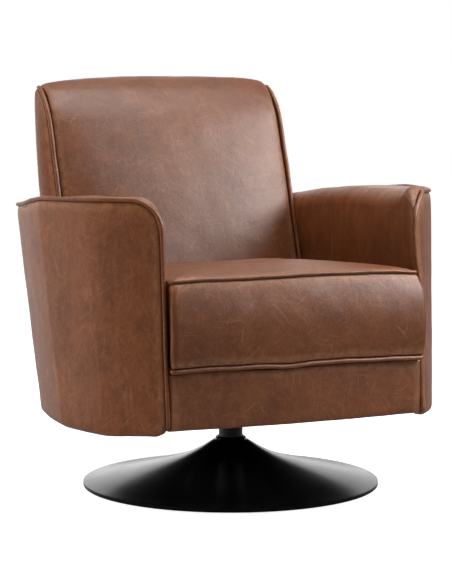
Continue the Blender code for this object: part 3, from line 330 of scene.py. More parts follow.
def make_leather(name, shift, turn=0.0, wear=1.0, drawn=0.0, shade=1.0, shine=LEATHER_SHINE):
    """One hide. Each piece is cut from another place, and may be drawn tight in one direction.
    A shade below 1 darkens both browns as painted shade, where the lamps light a piece too strongly.
    """
    material, tree, shader, _ = new_material(name)
    flat = add(tree, "Attribute", {"attribute_name": "hide"}).outputs["Vector"]
    cut = add(tree, "Mapping", Vector=flat, Location=shift, Rotation=(0, 0, turn)).outputs[0]
    clouds = use(tree, CLOUDS, cut, Scale=CLOUD_SCALE, Contrast=0.34)["Mask"]
    mottle = use(tree, CLOUDS, cut, Scale=MOTTLE_SCALE, Contrast=0.36)["Mask"]
    grain = use(tree, PEBBLES, cut, Scale=GRAIN_SCALE, Folds=0.8)["Height"]
    tight = add(tree, "Mapping", Vector=flat, Scale=(1.0, STREAK_STRETCH, 1.0), Location=shift).outputs[0]
    streak = math_node(tree, "SUBTRACT", noise_value(tree, tight, STREAK_SCALE, 4.0, 0.6), 0.5)
    tone = plus(tree, times(tree, clouds, 0.60), times(tree, mottle, 0.40))
    tone = plus(tree, tone, times(tree, streak, drawn), clamp=True)
    # Painted shade: the shade factor darkens both browns of a piece that the lamps light too strongly.
    dark, warm = (tuple(shade * c for c in colour) for colour in (LEATHER_DARK, LEATHER_WARM))
    colour = blend(tree, tone, dark, warm)
    near = add(tree, "Attribute", {"attribute_name": "seam"}).outputs["Fac"]
    # Painted highlight, partly wear: a pale band from a few millimetres to about 2 cm from each seam, where
    # the puckers would catch the light.
    ridge_wear_and_highlight = times(tree, ramp(tree, near, *RIDGE_NEAR), ramp(tree, near, *RIDGE_FAR, 1.0, 0.0))
    rubbed_and_highlit = times(tree, times(tree, ridge_wear_and_highlight, mottle), RIDGE_WEAR_AND_HIGHLIGHT)
    for scale, strength in SCUFFS_LAID_ON:
        scuffs = use(tree, SCUFFS, cut, Scale=scale, Amount=SCUFF_AMOUNT)["Mask"]
        rubbed_and_highlit = plus(tree, rubbed_and_highlit, times(tree, scuffs, strength * wear), clamp=True)
    colour = blend(tree, rubbed_and_highlit, colour, LEATHER_PALE)
    # Painted shade: the brown darkens within a few millimetres of each seam, where the leather dives into it.
    colour = blend(tree, ramp(tree, near, 0.0, SEAM_SHADE_REACH, 0.55, 0.0), colour, LEATHER_SEAM_SHADE)
    gloss = plus(tree, ramp(tree, tone, 0.0, 1.0, GLOSS_DARK, GLOSS_WARM), times(tree, rubbed_and_highlit, GLOSS_RUBBED))
    pulled = times(tree, streak, 3.0 * drawn)
    drive(tree, shader, colour, gloss, (grain, times(tree, mottle, 0.6), pulled), 0.00020)
    shader.inputs["Specular IOR Level"].default_value = shine
    return material


print("scuffs of", len(SCUFFS_LAID_ON), "sizes lie on the hide")

# %% Cut the leather for each piece
# The back, its stuffed sides and the cushion take darker copies of the same brown as painted shade.
LEATHERS = {
    "outer_panel_left": make_leather("leather_outer_left", (0.3, 1.1, 0.2), 0.4, drawn=0.5),
    "outer_panel_right": make_leather("leather_outer_right", (1.7, 0.4, 0.9), 1.9, drawn=0.4),
    "arm_pad_left": make_leather("leather_arm_left", (2.3, 0.7, 1.4), 2.6, drawn=0.7),
    "arm_pad_right": make_leather("leather_arm_right", (0.9, 2.1, 0.5), 0.9, 0.6, drawn=1.0),
    "back_pad": make_leather("leather_back", (1.2, 0.2, 2.2), 1.2, drawn=0.25, shade=0.80),
    "back_sides": make_leather("leather_back_sides", (3.1, 1.3, 0.6), 2.2, drawn=0.3, shade=0.9, shine=0.15),
    "outside_back": make_leather("leather_outside_back", (0.5, 3.2, 1.7), 0.2, drawn=0.25),
    "border": make_leather("leather_border", (2.8, 2.4, 0.1), 1.5, 1.1),
    "cushion": make_leather("leather_cushion", (1.5, 3.6, 1.1), 0.7, 1.1, shade=0.93, shine=0.30),
    "cord": make_leather("leather_cord", (0.1, 0.6, 3.3), 0.1, 1.4),
}
print("leather cuts:", len(LEATHERS))

# %% [markdown]
# ## Sheets of leather as grids
# A covered panel could be a plane with a displacement texture, but the seams have to lie exactly where the
# frame puts them. So every panel is a grid of points on a surface that a formula gives, close together near
# its edges. The points are then moved along their normals: down into the seams, in and out in small puckers
# along them, and in slow swells elsewhere.
# %% Spacing, normals and noise on grids
FINE_STEP = 0.0009
STEP_GROWTH = 1.4
GRID_STEP = 0.0055


def stations(length, step=GRID_STEP, start=FINE_STEP):
    """Places along a length, dense at both ends, where the leather turns into a seam."""
    near = [0.0]
    gap = start
    while gap < step and near[-1] < length / 4:
        near.append(near[-1] + gap)
        gap *= STEP_GROWTH
    count = max(int(round((length - 2 * near[-1]) / step)), 2)
    middle = np.linspace(near[-1], length - near[-1], count + 1)
    return np.concatenate([near[:-1], middle, length - np.array(near[:-1][::-1])])


def share_steps(length, step=GRID_STEP, start=FINE_STEP):
    """The same places as shares of the length."""
    return stations(length, step, start) / length


def shares_across(half):
    """Shares from -1 to 1 across a panel of the given half width."""
    return stations(2 * half) / half - 1


def between(low, high, share):
    """The value at a share of the way from low to high."""
    return low + (high - low) * share


def run_along(points):
    """The distance along a route at each of its points."""
    return np.concatenate([[0], np.cumsum(np.linalg.norm(np.diff(points, axis=0), axis=1))])


def outward(front, back):
    """Unit normals of the front grid, pointing away from the back grid."""
    normal = np.cross(np.gradient(front, axis=0), np.gradient(front, axis=1))
    normal /= np.maximum(np.linalg.norm(normal, axis=2, keepdims=True), 1e-12)
    side = np.sign(np.mean(np.sum(normal * (front - back), axis=2)))
    return normal * side


def field(points, size, seed=0.0):
    """Smooth noise from -1 to 1 at points, with features about the given size."""
    flat = np.reshape(points, (-1, 3)) / size + (seed, 2 * seed, -seed)
    values = [noise.noise(Vector(spot)) for spot in flat]
    return np.reshape(values, np.shape(points)[:-1])


def nearest_seam(points, seams):
    """For each point the distance to the nearest seam, less the seam's set-off, and the place along it."""
    flat = np.reshape(points, (-1, 3))
    best = np.full(len(flat), 1e9)
    along = np.zeros(len(flat))
    start_at = 0.0
    for line, set_off in seams:
        line = np.asarray(line)
        steps = np.diff(line, axis=0)
        lengths = np.maximum(np.linalg.norm(steps, axis=1), 1e-9)
        offset = flat[:, None, :] - line[None, :-1, :]
        share = np.clip(np.sum(offset * steps, axis=2) / lengths ** 2, 0, 1)
        gaps = np.linalg.norm(offset - share[..., None] * steps, axis=2)
        pick = np.argmin(gaps, axis=1)
        rows = np.arange(len(flat))
        away = np.maximum(gaps[rows, pick] - set_off, 0)
        at = start_at + np.concatenate([[0], np.cumsum(lengths)])[pick] + share[rows, pick] * lengths[pick]
        along = np.where(away < best, at, along)
        best = np.minimum(away, best)
        start_at += np.sum(lengths) + 1
    shape = np.shape(points)[:-1]
    return np.reshape(best, shape), np.reshape(along, shape)


def smooth(value):
    """Eases 0 to 1."""
    value = np.clip(value, 0, 1)
    return value * value * (3 - 2 * value)


print("a 0.2 m length takes", len(stations(0.2)), "stations")

# %% Moving the leather: seams, puckers and swells
SEAM_ROLL = (0.0034, 0.0034)
PUCKER_SIZE = 0.00055
PUCKER_PITCH = 0.0085
PUCKER_REACH = 0.0080
FINE_START = 0.0012
WIDE_PITCH, WIDE_SHARE, WIDE_START = (0.31, 1, 1), 1.1, 0.003
PUCKER_LEVEL, PUCKER_UNEVEN, UNEVEN_PITCH = 0.65, 0.6, (0.07, 0, 1)
SWELL_SIZE = 0.0012
SWELL_WAVES = ((1.0, 0.120, 0), (0.35, 0.042, 5))
SWELL_START = 0.045


def seam_roll(away, roll=SEAM_ROLL):
    """How deep a sheet dives as it comes near its seam, along a quarter ellipse of a reach and a depth."""
    reach, depth = roll
    short = np.clip(1 - away / reach, 0, 1)
    return depth * (1 - np.sqrt(1 - short ** 2))


def puckers(away, along, size=PUCKER_SIZE, seed=0.0, reach=PUCKER_REACH):
    """Small gathers square to the seam, which fade out within a few millimetres of it."""
    spots = np.stack([along / PUCKER_PITCH, away / (6 * PUCKER_PITCH), np.full_like(away, seed)], axis=-1)
    fine = field(spots, 1.0)
    wide = field(spots * WIDE_PITCH, 1.0, 7.0)
    strength = PUCKER_LEVEL + PUCKER_UNEVEN * field(spots * UNEVEN_PITCH, 1.0, 3.0)
    fade = np.exp(-away / reach) * smooth(away / FINE_START)
    wide_fade = np.exp(-away / (3 * reach)) * smooth(away / WIDE_START)
    return size * strength * (fine * fade + WIDE_SHARE * wide * wide_fade)


def swells(points, away, size=SWELL_SIZE, seed=0.0):
    """Slow waves in the padding, none at the seams."""
    waves = sum(share * field(points, length, seed + other) for share, length, other in SWELL_WAVES)
    return size * waves * smooth(away / SWELL_START)


def drape(front, back, seams, seed, pucker=PUCKER_SIZE, swell=SWELL_SIZE, roll=SEAM_ROLL, extra=None):
    """Moves a front grid along its normals and returns it with each point's distance to a seam."""
    normal = outward(front, back)
    away, along = nearest_seam(front, seams)
    lift = puckers(away, along, pucker, seed) + swells(front, away, swell, seed) - seam_roll(away, roll)
    if extra is not None:
        lift = lift + extra(away, along)
    return front + normal * lift[..., None], away


print("largest pucker, mm:", round(PUCKER_SIZE * 1000, 2))

# %% [markdown]
# ## From grids to meshes
# A mesh made of points and faces lets every point carry more than its place, and materials read that by
# name. A second grid behind the front one closes the sheet to a solid, so that it has an edge wherever it
# can be seen from the side. The finished piece is then fixed to the body that it moves with.
# %% Make a mesh with its place in the hide
def hide_of(grid):
    """Where each point of a grid lies in the flat hide: its run along both directions of the grid."""
    rows = np.linalg.norm(np.diff(grid, axis=0), axis=2)
    columns = np.linalg.norm(np.diff(grid, axis=1), axis=2)
    u = np.concatenate([np.zeros((1, grid.shape[1])), np.cumsum(rows, axis=0)], axis=0)
    v = np.concatenate([np.zeros((grid.shape[0], 1)), np.cumsum(columns, axis=1)], axis=1)
    return np.stack([u, v, 0 * u], axis=-1).reshape(-1, 3)


def read_all(items, key, width=1, kind=float):
    """One property of all the points, corners or faces of a mesh."""
    values = np.empty(len(items) * width, dtype=kind)
    items.foreach_get(key, values)
    return values.reshape(-1, width) if width > 1 else values


def link_mesh(name, vertices, faces, material, seam=None, hides=None, hide_of_face=None, smooth_angle=60):
    """Makes an object of vertices and faces, with outward normals, seam distances and places in the hide."""
    mesh = bpy.data.meshes.new(name)
    mesh.from_pydata([tuple(v) for v in vertices], [], faces)
    work = bmesh.new()
    work.from_mesh(mesh)
    bmesh.ops.recalc_face_normals(work, faces=work.faces)
    work.to_mesh(mesh)
    work.free()
    if seam is not None:
        store = mesh.attributes.new("seam", "FLOAT", "POINT")
        store.data.foreach_set("value", np.asarray(seam, dtype=np.float32))
    if hides is not None:
        corner = read_all(mesh.loops, "vertex_index", kind=np.int32)
        sizes = read_all(mesh.polygons, "loop_total", kind=np.int32)
        which = np.zeros(len(sizes), dtype=int) if hide_of_face is None else np.asarray(hide_of_face)
        flat = np.asarray(hides)[np.repeat(which, sizes), corner]
        store = mesh.attributes.new("hide", "FLOAT_VECTOR", "CORNER")
        store.data.foreach_set("vector", flat.astype(np.float32).ravel())
    mesh.shade_smooth()
    mesh.set_sharp_from_angle(angle=math.radians(smooth_angle))
    mesh.materials.append(material)
    thing = bpy.data.objects.new(name, mesh)
    bpy.context.scene.collection.objects.link(thing)
    return thing


def grid_faces(rows, columns, rows_close=False, columns_close=False):
    """Faces between the neighbours in a grid of points, which may close on itself either way."""
    index = np.arange(rows * columns).reshape(rows, columns)
    if rows_close:
        index = np.concatenate([index, index[:1]])
    if columns_close:
        index = np.concatenate([index, index[:, :1]], axis=1)
    corners = [index[:-1, :-1], index[:-1, 1:], index[1:, 1:], index[1:, :-1]]
    return np.stack(corners, axis=-1).reshape(-1, 4)


def end_faces(rows, count):
    """The two faces that close a stack of rings."""
    return [list(range(count)), list(range((rows - 1) * count, rows * count))]


print("a grid of 3 by 4 points has", len(grid_faces(3, 4)), "faces")

# %% Make a sheet, dress a body and upholster
def sheet(name, front, back, material, away):
    """A closed solid between a front and a back grid of the same size."""
    rows, columns = front.shape[:2]
    count = rows * columns
    index = np.arange(count).reshape(rows, columns)
    quads = grid_faces(rows, columns)
    rim = np.concatenate([index[0], index[1:, -1], index[-1, -2::-1], index[-2:0:-1, 0]])
    after = np.roll(rim, -1)
    sides = np.stack([rim, rim + count, after + count, after], axis=-1)
    faces = np.concatenate([quads, quads[:, ::-1] + count, sides]).tolist()
    vertices = np.concatenate([front.reshape(-1, 3), back.reshape(-1, 3)])
    seam = np.concatenate([away.ravel(), np.full(count, 0.03)])
    flat = hide_of(front)
    return link_mesh(name, vertices, faces, material, seam, [np.concatenate([flat, flat + (0, 0, 0.005)])])


def dress(piece, body, slot, *replaced):
    """Fixes a piece to its body and lets it stand for the frame's plain solids."""
    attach(piece, body)
    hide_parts(*replaced)


def upholster(name, node, leather, front, back, seams, seed, **rules):
    """Drapes a front grid between its seams, closes it to a sheet and fixes it to the seat."""
    front, away = drape(front, back, seams, seed, **rules)
    piece = sheet(name, front, back, LEATHERS[leather], away)
    dress(piece, "seat", "leather", node)
    print(name, "faces:", len(piece.data.polygons))
    return piece


SIDES = (("left", -1), ("right", 1))
print("a sheet has a front, a back and a rim")

# %% [markdown]
# ## Welt cords
# A welt is a cord in a strip of leather that is sewn into the seam. It is never quite even: the strip is
# tighter in some places, and it wanders a little. A curve with a round bevel would be perfectly even, so the
# cord is swept as a mesh along its route, with a radius that varies, and small folds where it bends.
# %% Even, soft and straying routes
def resample(points, step, closed=False):
    """Even points along a route."""
    points = np.asarray(points, dtype=float)
    if closed:
        points = np.concatenate([points, points[:1]])
    run = run_along(points)
    count = max(int(round(run[-1] / step)), 4)
    at = np.linspace(0, run[-1], count + 1)[: count if closed else count + 1]
    return np.stack([np.interp(at, run, points[:, k]) for k in range(3)], axis=-1)


def soften(points, rounds, closed=False):
    """Rounds off a route by averaging neighbours, with its ends kept."""
    for _ in range(rounds):
        before, after = np.roll(points, 1, axis=0), np.roll(points, -1, axis=0)
        mean = (before + 2 * points + after) / 4
        if not closed:
            mean[0], mean[-1] = points[0], points[-1]
        points = mean
    return points


def wander(route, size, seed):
    """Lets a seam stray a little, as hand sewing does, with its ends kept."""
    route = np.asarray(route)
    shift = np.stack([field(route, 0.055, seed + k) for k in range(3)], axis=-1)
    ends = smooth(np.minimum(np.arange(len(route)), np.arange(len(route))[::-1]) / 8)
    return route + size * shift * ends[:, None]


print("a route is softened by its neighbours")

# %% Sweep a cord
CORD_RADIUS = 0.0041
CORD_SIDES = 14
CORD_STEP = 0.0035
CORD_UNEVEN = ((0.06, 0.011), (0.06, 0.034))


def cord(name, route, body, node, closed=False, seed=0.0, radius=CORD_RADIUS):
    """A leather covered cord along a route, with rounded ends if it is open."""
    centre = soften(resample(route, CORD_STEP, closed), 2, closed)
    if closed:
        ahead = np.roll(centre, -1, axis=0) - np.roll(centre, 1, axis=0)
    else:
        ahead = np.gradient(centre, axis=0)
    ahead /= np.linalg.norm(ahead, axis=1, keepdims=True)
    count = len(centre)
    side = np.zeros_like(ahead)
    side[0] = np.cross(ahead[0], (0.31, 0.52, 0.79))
    for i in range(count):
        carried = side[i - 1] if i else side[0]
        side[i] = carried - ahead[i] * np.dot(carried, ahead[i])
        side[i] /= np.linalg.norm(side[i])
    if closed:
        twist = math.atan2(np.dot(np.cross(side[-1], side[0]), ahead[0]), np.dot(side[-1], side[0]))
        turn = np.linspace(0, twist, count)[:, None]
        side = side * np.cos(turn) + np.cross(ahead, side) * np.sin(turn)
    up = np.cross(ahead, side)
    angle = 2 * np.pi * np.arange(CORD_SIDES) / CORD_SIDES
    ring = side[:, None, :] * np.cos(angle)[None, :, None] + up[:, None, :] * np.sin(angle)[None, :, None]
    base = centre[:, None, :] + ring * radius
    bumps = sum(much * field(base, size, seed + 2 * k) for k, (much, size) in enumerate(CORD_UNEVEN))
    thick = np.full(count, radius)
    if not closed:
        run = np.minimum(np.arange(count), np.arange(count)[::-1]) * CORD_STEP
        thick = radius * np.sqrt(np.clip(1 - (1 - np.minimum(run / radius, 1)) ** 2, 0.05, 1))
    points = centre[:, None, :] + ring * (thick[:, None] * (1 + bumps))[..., None]
    points = points.reshape(-1, 3)
    faces = grid_faces(count, CORD_SIDES, closed, True).tolist()
    if not closed:
        faces += end_faces(count, CORD_SIDES)
    piece = link_mesh(name, points, faces, LEATHERS["cord"], np.full(len(points), 0.03), [points])
    dress(piece, body, "leather_cord", node)
    return piece


print("a cord has", CORD_SIDES, "sides and a ring every", CORD_STEP * 1000, "mm")

# %% [markdown]
# ## The tub
# The arms are one slanted half cone. Its plan is a circle whose centre and radius change evenly from the
# lower edge to arm height. Between the frame's uprights the leather is drawn straight, so it lies a little
# inside the circle. All the arm pieces ask the same functions where the cone is, so they meet.
# %% The cone
TUB_BOTTOM = cad_low.z + 0.153
TUB_ARM_LEVEL = 0.570
TUB_LOW_RADIUS = 0.3880
TUB_ARM_RADIUS = 0.4128
TUB_LOW_CENTRE = -0.0290
TUB_ARM_CENTRE = 0.0372
SEAT_HALF = 0.2655
BACK_HALF = 0.2640


def tub_plan(height):
    """Centre depth and radius of the tub's plan circle at a height."""
    share = (height - TUB_BOTTOM) / (TUB_ARM_LEVEL - TUB_BOTTOM)
    return between(TUB_LOW_CENTRE, TUB_ARM_CENTRE, share), between(TUB_LOW_RADIUS, TUB_ARM_RADIUS, share)


def on_tub(share, height, inset=0.0, front_x=SEAT_HALF, rear_x=SEAT_HALF):
    """Points on the right side of the tub, from its nose at share 0 to its rear seam at 1."""
    centre, radius = tub_plan(height)
    reach = radius - inset
    angle = between(np.arcsin(front_x / reach), np.pi - np.arcsin(rear_x / reach), share)
    x = reach * np.sin(angle)
    return np.stack([x, centre - reach * np.cos(angle), height + 0 * x], axis=-1)


SIDE_LENGTH = TUB_ARM_RADIUS * (math.pi - 2 * math.asin(SEAT_HALF / TUB_ARM_RADIUS))
UPRIGHT_SHARES = (0.0, 0.22, 0.43, 0.70, 1.0)
DRAWN_IN = {"left": 0.0020, "right": 0.0006}
FACET_DEPTHS = {"left": (0.0016, 0.0022, 0.0052, 0.0085), "right": (0.0012, 0.0008, 0.0004, 0.0004)}


def tub_inset(share, label):
    """How far leather that is drawn from upright to upright lies inside the true circle."""
    depth = DRAWN_IN[label] * smooth(share / 0.12)
    for low, high, most in zip(UPRIGHT_SHARES, UPRIGHT_SHARES[1:], FACET_DEPTHS[label]):
        inside = np.clip((share - low) / (high - low), 0, 1)
        depth = depth + most * 4 * inside * (1 - inside)
    return depth


print("length of an arm's edge:", round(SIDE_LENGTH, 3))

# %% [markdown]
# ## The arms' edges
# No two edges of a hand stuffed chair are alike. Each arm's upper edge slopes to the rear, with a line of its
# own, and it turns down to the nose over a rounded corner. The nose is the narrow front end of an arm:
# its foot is lifted, and on the right it gives way beside the cushion and leans in above it. All of this
# could be sculpted, but the cord, the panel and the pad must share one edge, so each is a formula.
# %% The upper edge, the lower edge and the nose
GAP = 0.0008
CORD_SUNK = 0.002
EDGE_ROUND = 0.017
ARM_EDGE_HEIGHT = 0.5825
ARM_SLOPE_SHARE = 0.045
ARM_REAR_FALL = 0.034
CORNERS = {"left": (0.056, 0.055, 1.9), "right": (0.062, 0.052, 1.55)}
EDGE_LIFT = {
    "left": ((0, 0.0050), (0.30, 0.0060), (0.42, 0.0065), (0.58, -0.0045), (0.70, -0.0050), (1, 0)),
    "right": ((0, 0.0045), (0.08, 0.0040), (0.20, 0.0010), (0.3, 0.0010), (0.5, 0.0040), (0.62, 0.002),
              (1, 0)),
}
NOSE_LIFT = {"left": 0.0085, "right": 0.0118}
NOSE_RUN = 0.190
NOSE_CORNER = (0.022, 0.0085)
NOSE_BENDS = {
    "left": ((0.15, 0), (0.61, 0)),
    "right": ((0.15, 0), (0.28, 0), (0.31, 0.004), (0.35, 0.008), (0.40, 0.006), (0.44, 0.0005),
              (0.48, -0.004), (0.53, -0.005), (0.57, -0.002), (0.61, 0)),
}
NOSE_GIVE = 0.032


def hand_set(pairs, share):
    """A value between the places where it was set, with its corners softened."""
    places, values = np.array(pairs).T
    blur = 0.02 * (places[-1] - places[0])
    return sum(np.interp(share + k * blur, places, values) for k in (-1, -0.5, 0, 0.5, 1)) / 5


def arm_line(share, label):
    """Height of the arm's outer edge, away from its rounded front corner."""
    depth = on_tub(share, TUB_ARM_LEVEL)[..., 1]
    fall = ARM_REAR_FALL * (np.maximum(depth, 0) / TUB_ARM_RADIUS) ** 2
    return ARM_EDGE_HEIGHT - ARM_SLOPE_SHARE * depth - fall + hand_set(EDGE_LIFT[label], share)


def edge_height(share, label, offset=0.0):
    """Height of the arm's edge with its rounded front corner, an offset below the cord's centre."""
    run, drop, bend = CORNERS[label]
    short = np.clip((run - share * SIDE_LENGTH) / (run - offset), 0, 1)
    return arm_line(share, label) - drop + (drop - offset) * (1 - short ** bend) ** (1 / bend)


def tub_low(share, label, from_run=0.0):
    """Height of the tub's lower edge, which lifts towards the nose and is rounded off beside its cord."""
    run = share * SIDE_LENGTH
    width, height = NOSE_CORNER
    short = np.clip(1 - (run - from_run) / width, 0, 1)
    lift = NOSE_LIFT[label] * smooth(1 - run / NOSE_RUN)
    return TUB_BOTTOM + lift + height * (1 - np.sqrt(1 - short ** 2))


def rolled_under(above):
    """How far a panel is rolled in at a height above its lower edge."""
    short = np.clip(EDGE_ROUND - above, 0, EDGE_ROUND)
    return EDGE_ROUND - np.sqrt(EDGE_ROUND ** 2 - short ** 2)


def bend_nose(points, label):
    """Lets an arm's nose give way beside the cushion and lean in above it, and fades that out behind it."""
    points = np.array(points, dtype=float)
    centre, radius = tub_plan(points[..., 2])
    behind = points[..., 1] - centre + np.sqrt(radius ** 2 - SEAT_HALF ** 2)
    points[..., 0] += hand_set(NOSE_BENDS[label], points[..., 2]) * smooth(1 - behind / NOSE_GIVE)
    return points


print("the right nose stands at", round(float(edge_height(np.float64(0), "right")), 3), "m")

# %% [markdown]
# ## The cord round each arm
# One welt comes up an arm's nose, turns back over the corner and runs along the edge to the back. It could
# be traced on the finished leather, but both neighbours end in it, so its route is laid out first.
# %% The route of the cord round each arm
NOSE_POINTS, CORNER_POINTS, TOP_POINTS = 65, 23, 110
TUCK, TUCK_RUN = 0.003, 0.010
ARM_CORD = 0.0039
ARM_STRAY = 0.0009


def arm_seam(label):
    """The cord's centre line on the right arm: from its low end up the nose, over and to the rear."""
    low = float(tub_low(np.float64(0), label))
    top = float(edge_height(np.float64(0), label))
    rise = np.linspace(low + NOSE_CORNER[1], top, NOSE_POINTS + 1)[:-1]
    tuck = TUCK * np.clip(1 - (rise - rise[0]) / TUCK_RUN, 0, 1) ** 1.5
    nose = on_tub(np.zeros(NOSE_POINTS), rise, CORD_SUNK + tuck)
    angle = np.linspace(0, math.pi / 2, CORNER_POINTS + 1)[:-1]
    corner = CORNERS[label][0]
    corner_share = corner * (1 - np.cos(angle)) / SIDE_LENGTH
    top_share = np.linspace(corner / SIDE_LENGTH, 1 - (CORD_RADIUS + GAP) / SIDE_LENGTH, TOP_POINTS)
    shares = np.concatenate([corner_share, top_share])
    over = on_tub(shares, edge_height(shares, label), CORD_SUNK + tub_inset(shares, label))
    return bend_nose(np.concatenate([nose, over]), label)


def sided(points, side):
    """Points of the right side, mirrored if the left is wanted."""
    return np.asarray(points) * (side, 1, 1)


ARM_SEAMS = {}
for label, side in SIDES:
    ARM_SEAMS[label] = wander(sided(arm_seam(label), side), ARM_STRAY, 3.0 * side)
    cord("arm_cord_" + label, ARM_SEAMS[label], "seat", "arm_piping_" + label, seed=side, radius=ARM_CORD)
print("arm cord points:", len(ARM_SEAMS["left"]))

# %% [markdown]
# ## The outer panels
# Leather is pulled round the outside of each arm over card and wadding, and the frame's uprights show
# through as faint vertical ridges. The panel ends in the welt along the nose and the top, in a plain seam at
# the rear, and it rolls under at the lower edge.
# %% Make the outer panels
PANEL_PUFF, PUFF_RUN = 0.0008, 0.03
PANEL_HEIGHT = 0.42
PANEL_THICK = 0.008
PANEL_DRAPE = {"pucker": 0.0010, "swell": 0.0014, "roll": (0.015, 0.0042)}


def outer_panel(label, side):
    """One arm's outer skin."""
    set_off = CORD_RADIUS + 0.0002
    front_x = SEAT_HALF + set_off / 2
    rear_x = BACK_HALF + GAP
    run = set_off + stations(SIDE_LENGTH - set_off)
    share = run / SIDE_LENGTH
    low, top = tub_low(share, label, set_off), edge_height(share, label, set_off)
    height = between(low[:, None], top[:, None], share_steps(PANEL_HEIGHT))
    spread = share[:, None] + 0 * height
    under = rolled_under(height - low[:, None])
    front = on_tub(spread, height, under + tub_inset(spread, label), front_x, rear_x)
    back = on_tub(spread, height, under + PANEL_THICK, SEAT_HALF - 0.004, rear_x)
    front, back = sided(bend_nose(front, label), side), sided(bend_nose(back, label), side)
    seams = [(ARM_SEAMS[label], set_off), (front[-1], 0.0)]

    def fuller(away, along):
        """The wadding under the panel lifts it between its seams."""
        return PANEL_PUFF * smooth(away / PUFF_RUN)

    node = "outer_panel_" + label
    upholster("outer_cover_" + label, node, node, front, back, seams, 11.0 * side, extra=fuller,
              **PANEL_DRAPE)


for label, side in SIDES:
    outer_panel(label, side)

# %% [markdown]
# ## The arm pads
# The inside of an arm and its top are one piece of leather over foam. It climbs straight up beside the
# cushion, rolls over, crowns slightly across the top and ends in the welt. Its section is worked out from
# the nose to the back, so it narrows to nothing where the circle meets the seat's side.
# %% The section of an arm pad
CROWNS = {
    "left": ((0, 0.0060), (0.2, 0.0025), (0.43, 0.0015), (0.6, 0.0080), (1, 0.0090)),
    "right": ((0, 0.0100), (0.08, 0.0092), (0.15, 0.0065), (0.21, 0.0045), (0.35, 0.0050), (0.6, 0.0045),
              (0.8, 0.0060), (1, 0.0090)),
}
CROWN_WIDTH = 0.036
ARM_ROLL = 0.034
ARM_WALL = 0.012
TOP_PAD = 0.030
PAD_LOW = 0.2663
WALL_BULGE = 0.0035
CUSHION_SHOULDER = 0.44
FULL_WALL = 0.02
NOSE_EXTRA = 0.0008
PAD_INSET = 0.0102
NOSE_INSET = 0.0026


def arm_section(share, label):
    """Front and back points across the right arm's pad at one share along it."""
    edge = float(edge_height(share, label))
    inset = between(NOSE_INSET, PAD_INSET, float(smooth(share / 0.07)))
    nose = SEAT_HALF + NOSE_EXTRA
    lip = CORD_SUNK + CORD_RADIUS + GAP / 2 + float(tub_inset(np.float64(share), label))

    def on_arm(height, inset_now):
        return on_tub(np.float64(share), height, inset_now, nose, nose)

    width = on_arm(edge, lip)[0] - SEAT_HALF
    crown = float(hand_set(CROWNS[label], np.float64(share))) * min(width / CROWN_WIDTH, 1)
    top = edge + crown
    roll = min(ARM_ROLL, width * 0.6)
    wall = min(ARM_WALL, width * 0.5)
    under = edge - TOP_PAD

    def bulge_at(z):
        free = math.pi * max(z - CUSHION_SHOULDER, 0) / (top - CUSHION_SHOULDER)
        return WALL_BULGE * math.sin(free) * min(width / FULL_WALL, 1)

    front, back = [], []
    for rise in share_steps(0.26):
        z = between(PAD_LOW, top - roll, rise)
        front.append((SEAT_HALF - bulge_at(z), on_arm(z, inset)[1], z))
        back.append((SEAT_HALF + wall, on_arm(min(z, under), inset)[1], min(z, under)))
    for turn in np.linspace(0, math.pi / 2, 9)[1:]:
        z = top - roll * (1 - math.sin(turn))
        x = SEAT_HALF + roll * (1 - math.cos(turn))
        front.append((x - bulge_at(z) * math.cos(turn), on_arm(z, inset)[1], z))
        back.append((SEAT_HALF + wall, on_arm(under, inset)[1], under))
    hidden_x = on_arm(under, PAD_INSET)[0]
    for across in share_steps(0.07)[1:]:
        x = SEAT_HALF + roll + (width - roll) * across
        z = top - (top - edge - 0.0004) * across ** 2
        front.append((x, on_arm(edge, inset)[1], z))
        hidden = SEAT_HALF + wall + (hidden_x - SEAT_HALF - wall) * across
        back.append((hidden, on_arm(under, inset)[1], under))
    shelf = edge - CORD_RADIUS / 2
    for x in (SEAT_HALF + width, on_arm(shelf, PAD_INSET)[0]):
        front.append((x, on_arm(shelf, inset)[1], shelf))
        back.append((hidden_x, on_arm(under, inset)[1], under))
    return front, back


print("an arm's section at its middle has", len(arm_section(0.5, "left")[0]), "points")

# %% Make the arm pads
PAD_ROLL = (0.0030, 0.0020)
CORNER_AT, CORNER_REACH = 0.46, 0.035


def arm_pad(label, side):
    """One arm's inside and top."""
    shares = share_steps(SIDE_LENGTH)
    sections = [arm_section(float(share), label) for share in shares]
    front, back = (sided(bend_nose(grid, label), side) for grid in zip(*sections))
    seams = [(ARM_SEAMS[label], CORD_RADIUS + 0.0004)]

    def gathers(away, along):
        """Deeper folds where the leather goes round the front corner."""
        near = np.exp(-((along - CORNER_AT) / CORNER_REACH) ** 2)
        return puckers(away, along * 0.8, 0.0010, 20.0 * side) * near

    node = "arm_pad_" + label
    piece = upholster("arm_cover_" + label, node, node, front, back, seams, 17.0 * side, roll=PAD_ROLL,
                      extra=gathers)


for label, side in SIDES:
    arm_pad(label, side)

# %% [markdown]
# ## The back
# From the side, the seam of the inside back is an S: it leans from the seat, straightens, and bends back
# over the top, where the right one ends a little lower. A few given points and a smooth curve through
# them draw it; a sweep of arcs would need as many numbers and be harder to read. Two welts follow it.
# %% The side seam, and surfaces that depend on it
BACK_SEAT_DEPTH = 0.1700
BACK_SEAT_HEIGHT = 0.274
BACK_SEAM_DEPTH = 0.3900
BACK_SEAM_HEIGHT = 0.787
BACK_SEAM_SHARES = (
    (0, 0), (0.223, 0.285), (0.364, 0.460), (0.496, 0.636), (0.580, 0.733), (0.659, 0.830),
    (0.709, 0.883), (0.782, 0.932), (0.859, 0.967), (0.936, 0.988), (1, 1),
)
BACK_CORD_X = 0.2605
BACK_CROWN = 0.026
BACK_TOP = 0.803
BACK_TOP_ROUND = 0.090
BACK_SKIN_TOP = 0.774
BACK_SKIN = 0.010
LOW_BOW = 0.104
TOP_BOW = 0.058


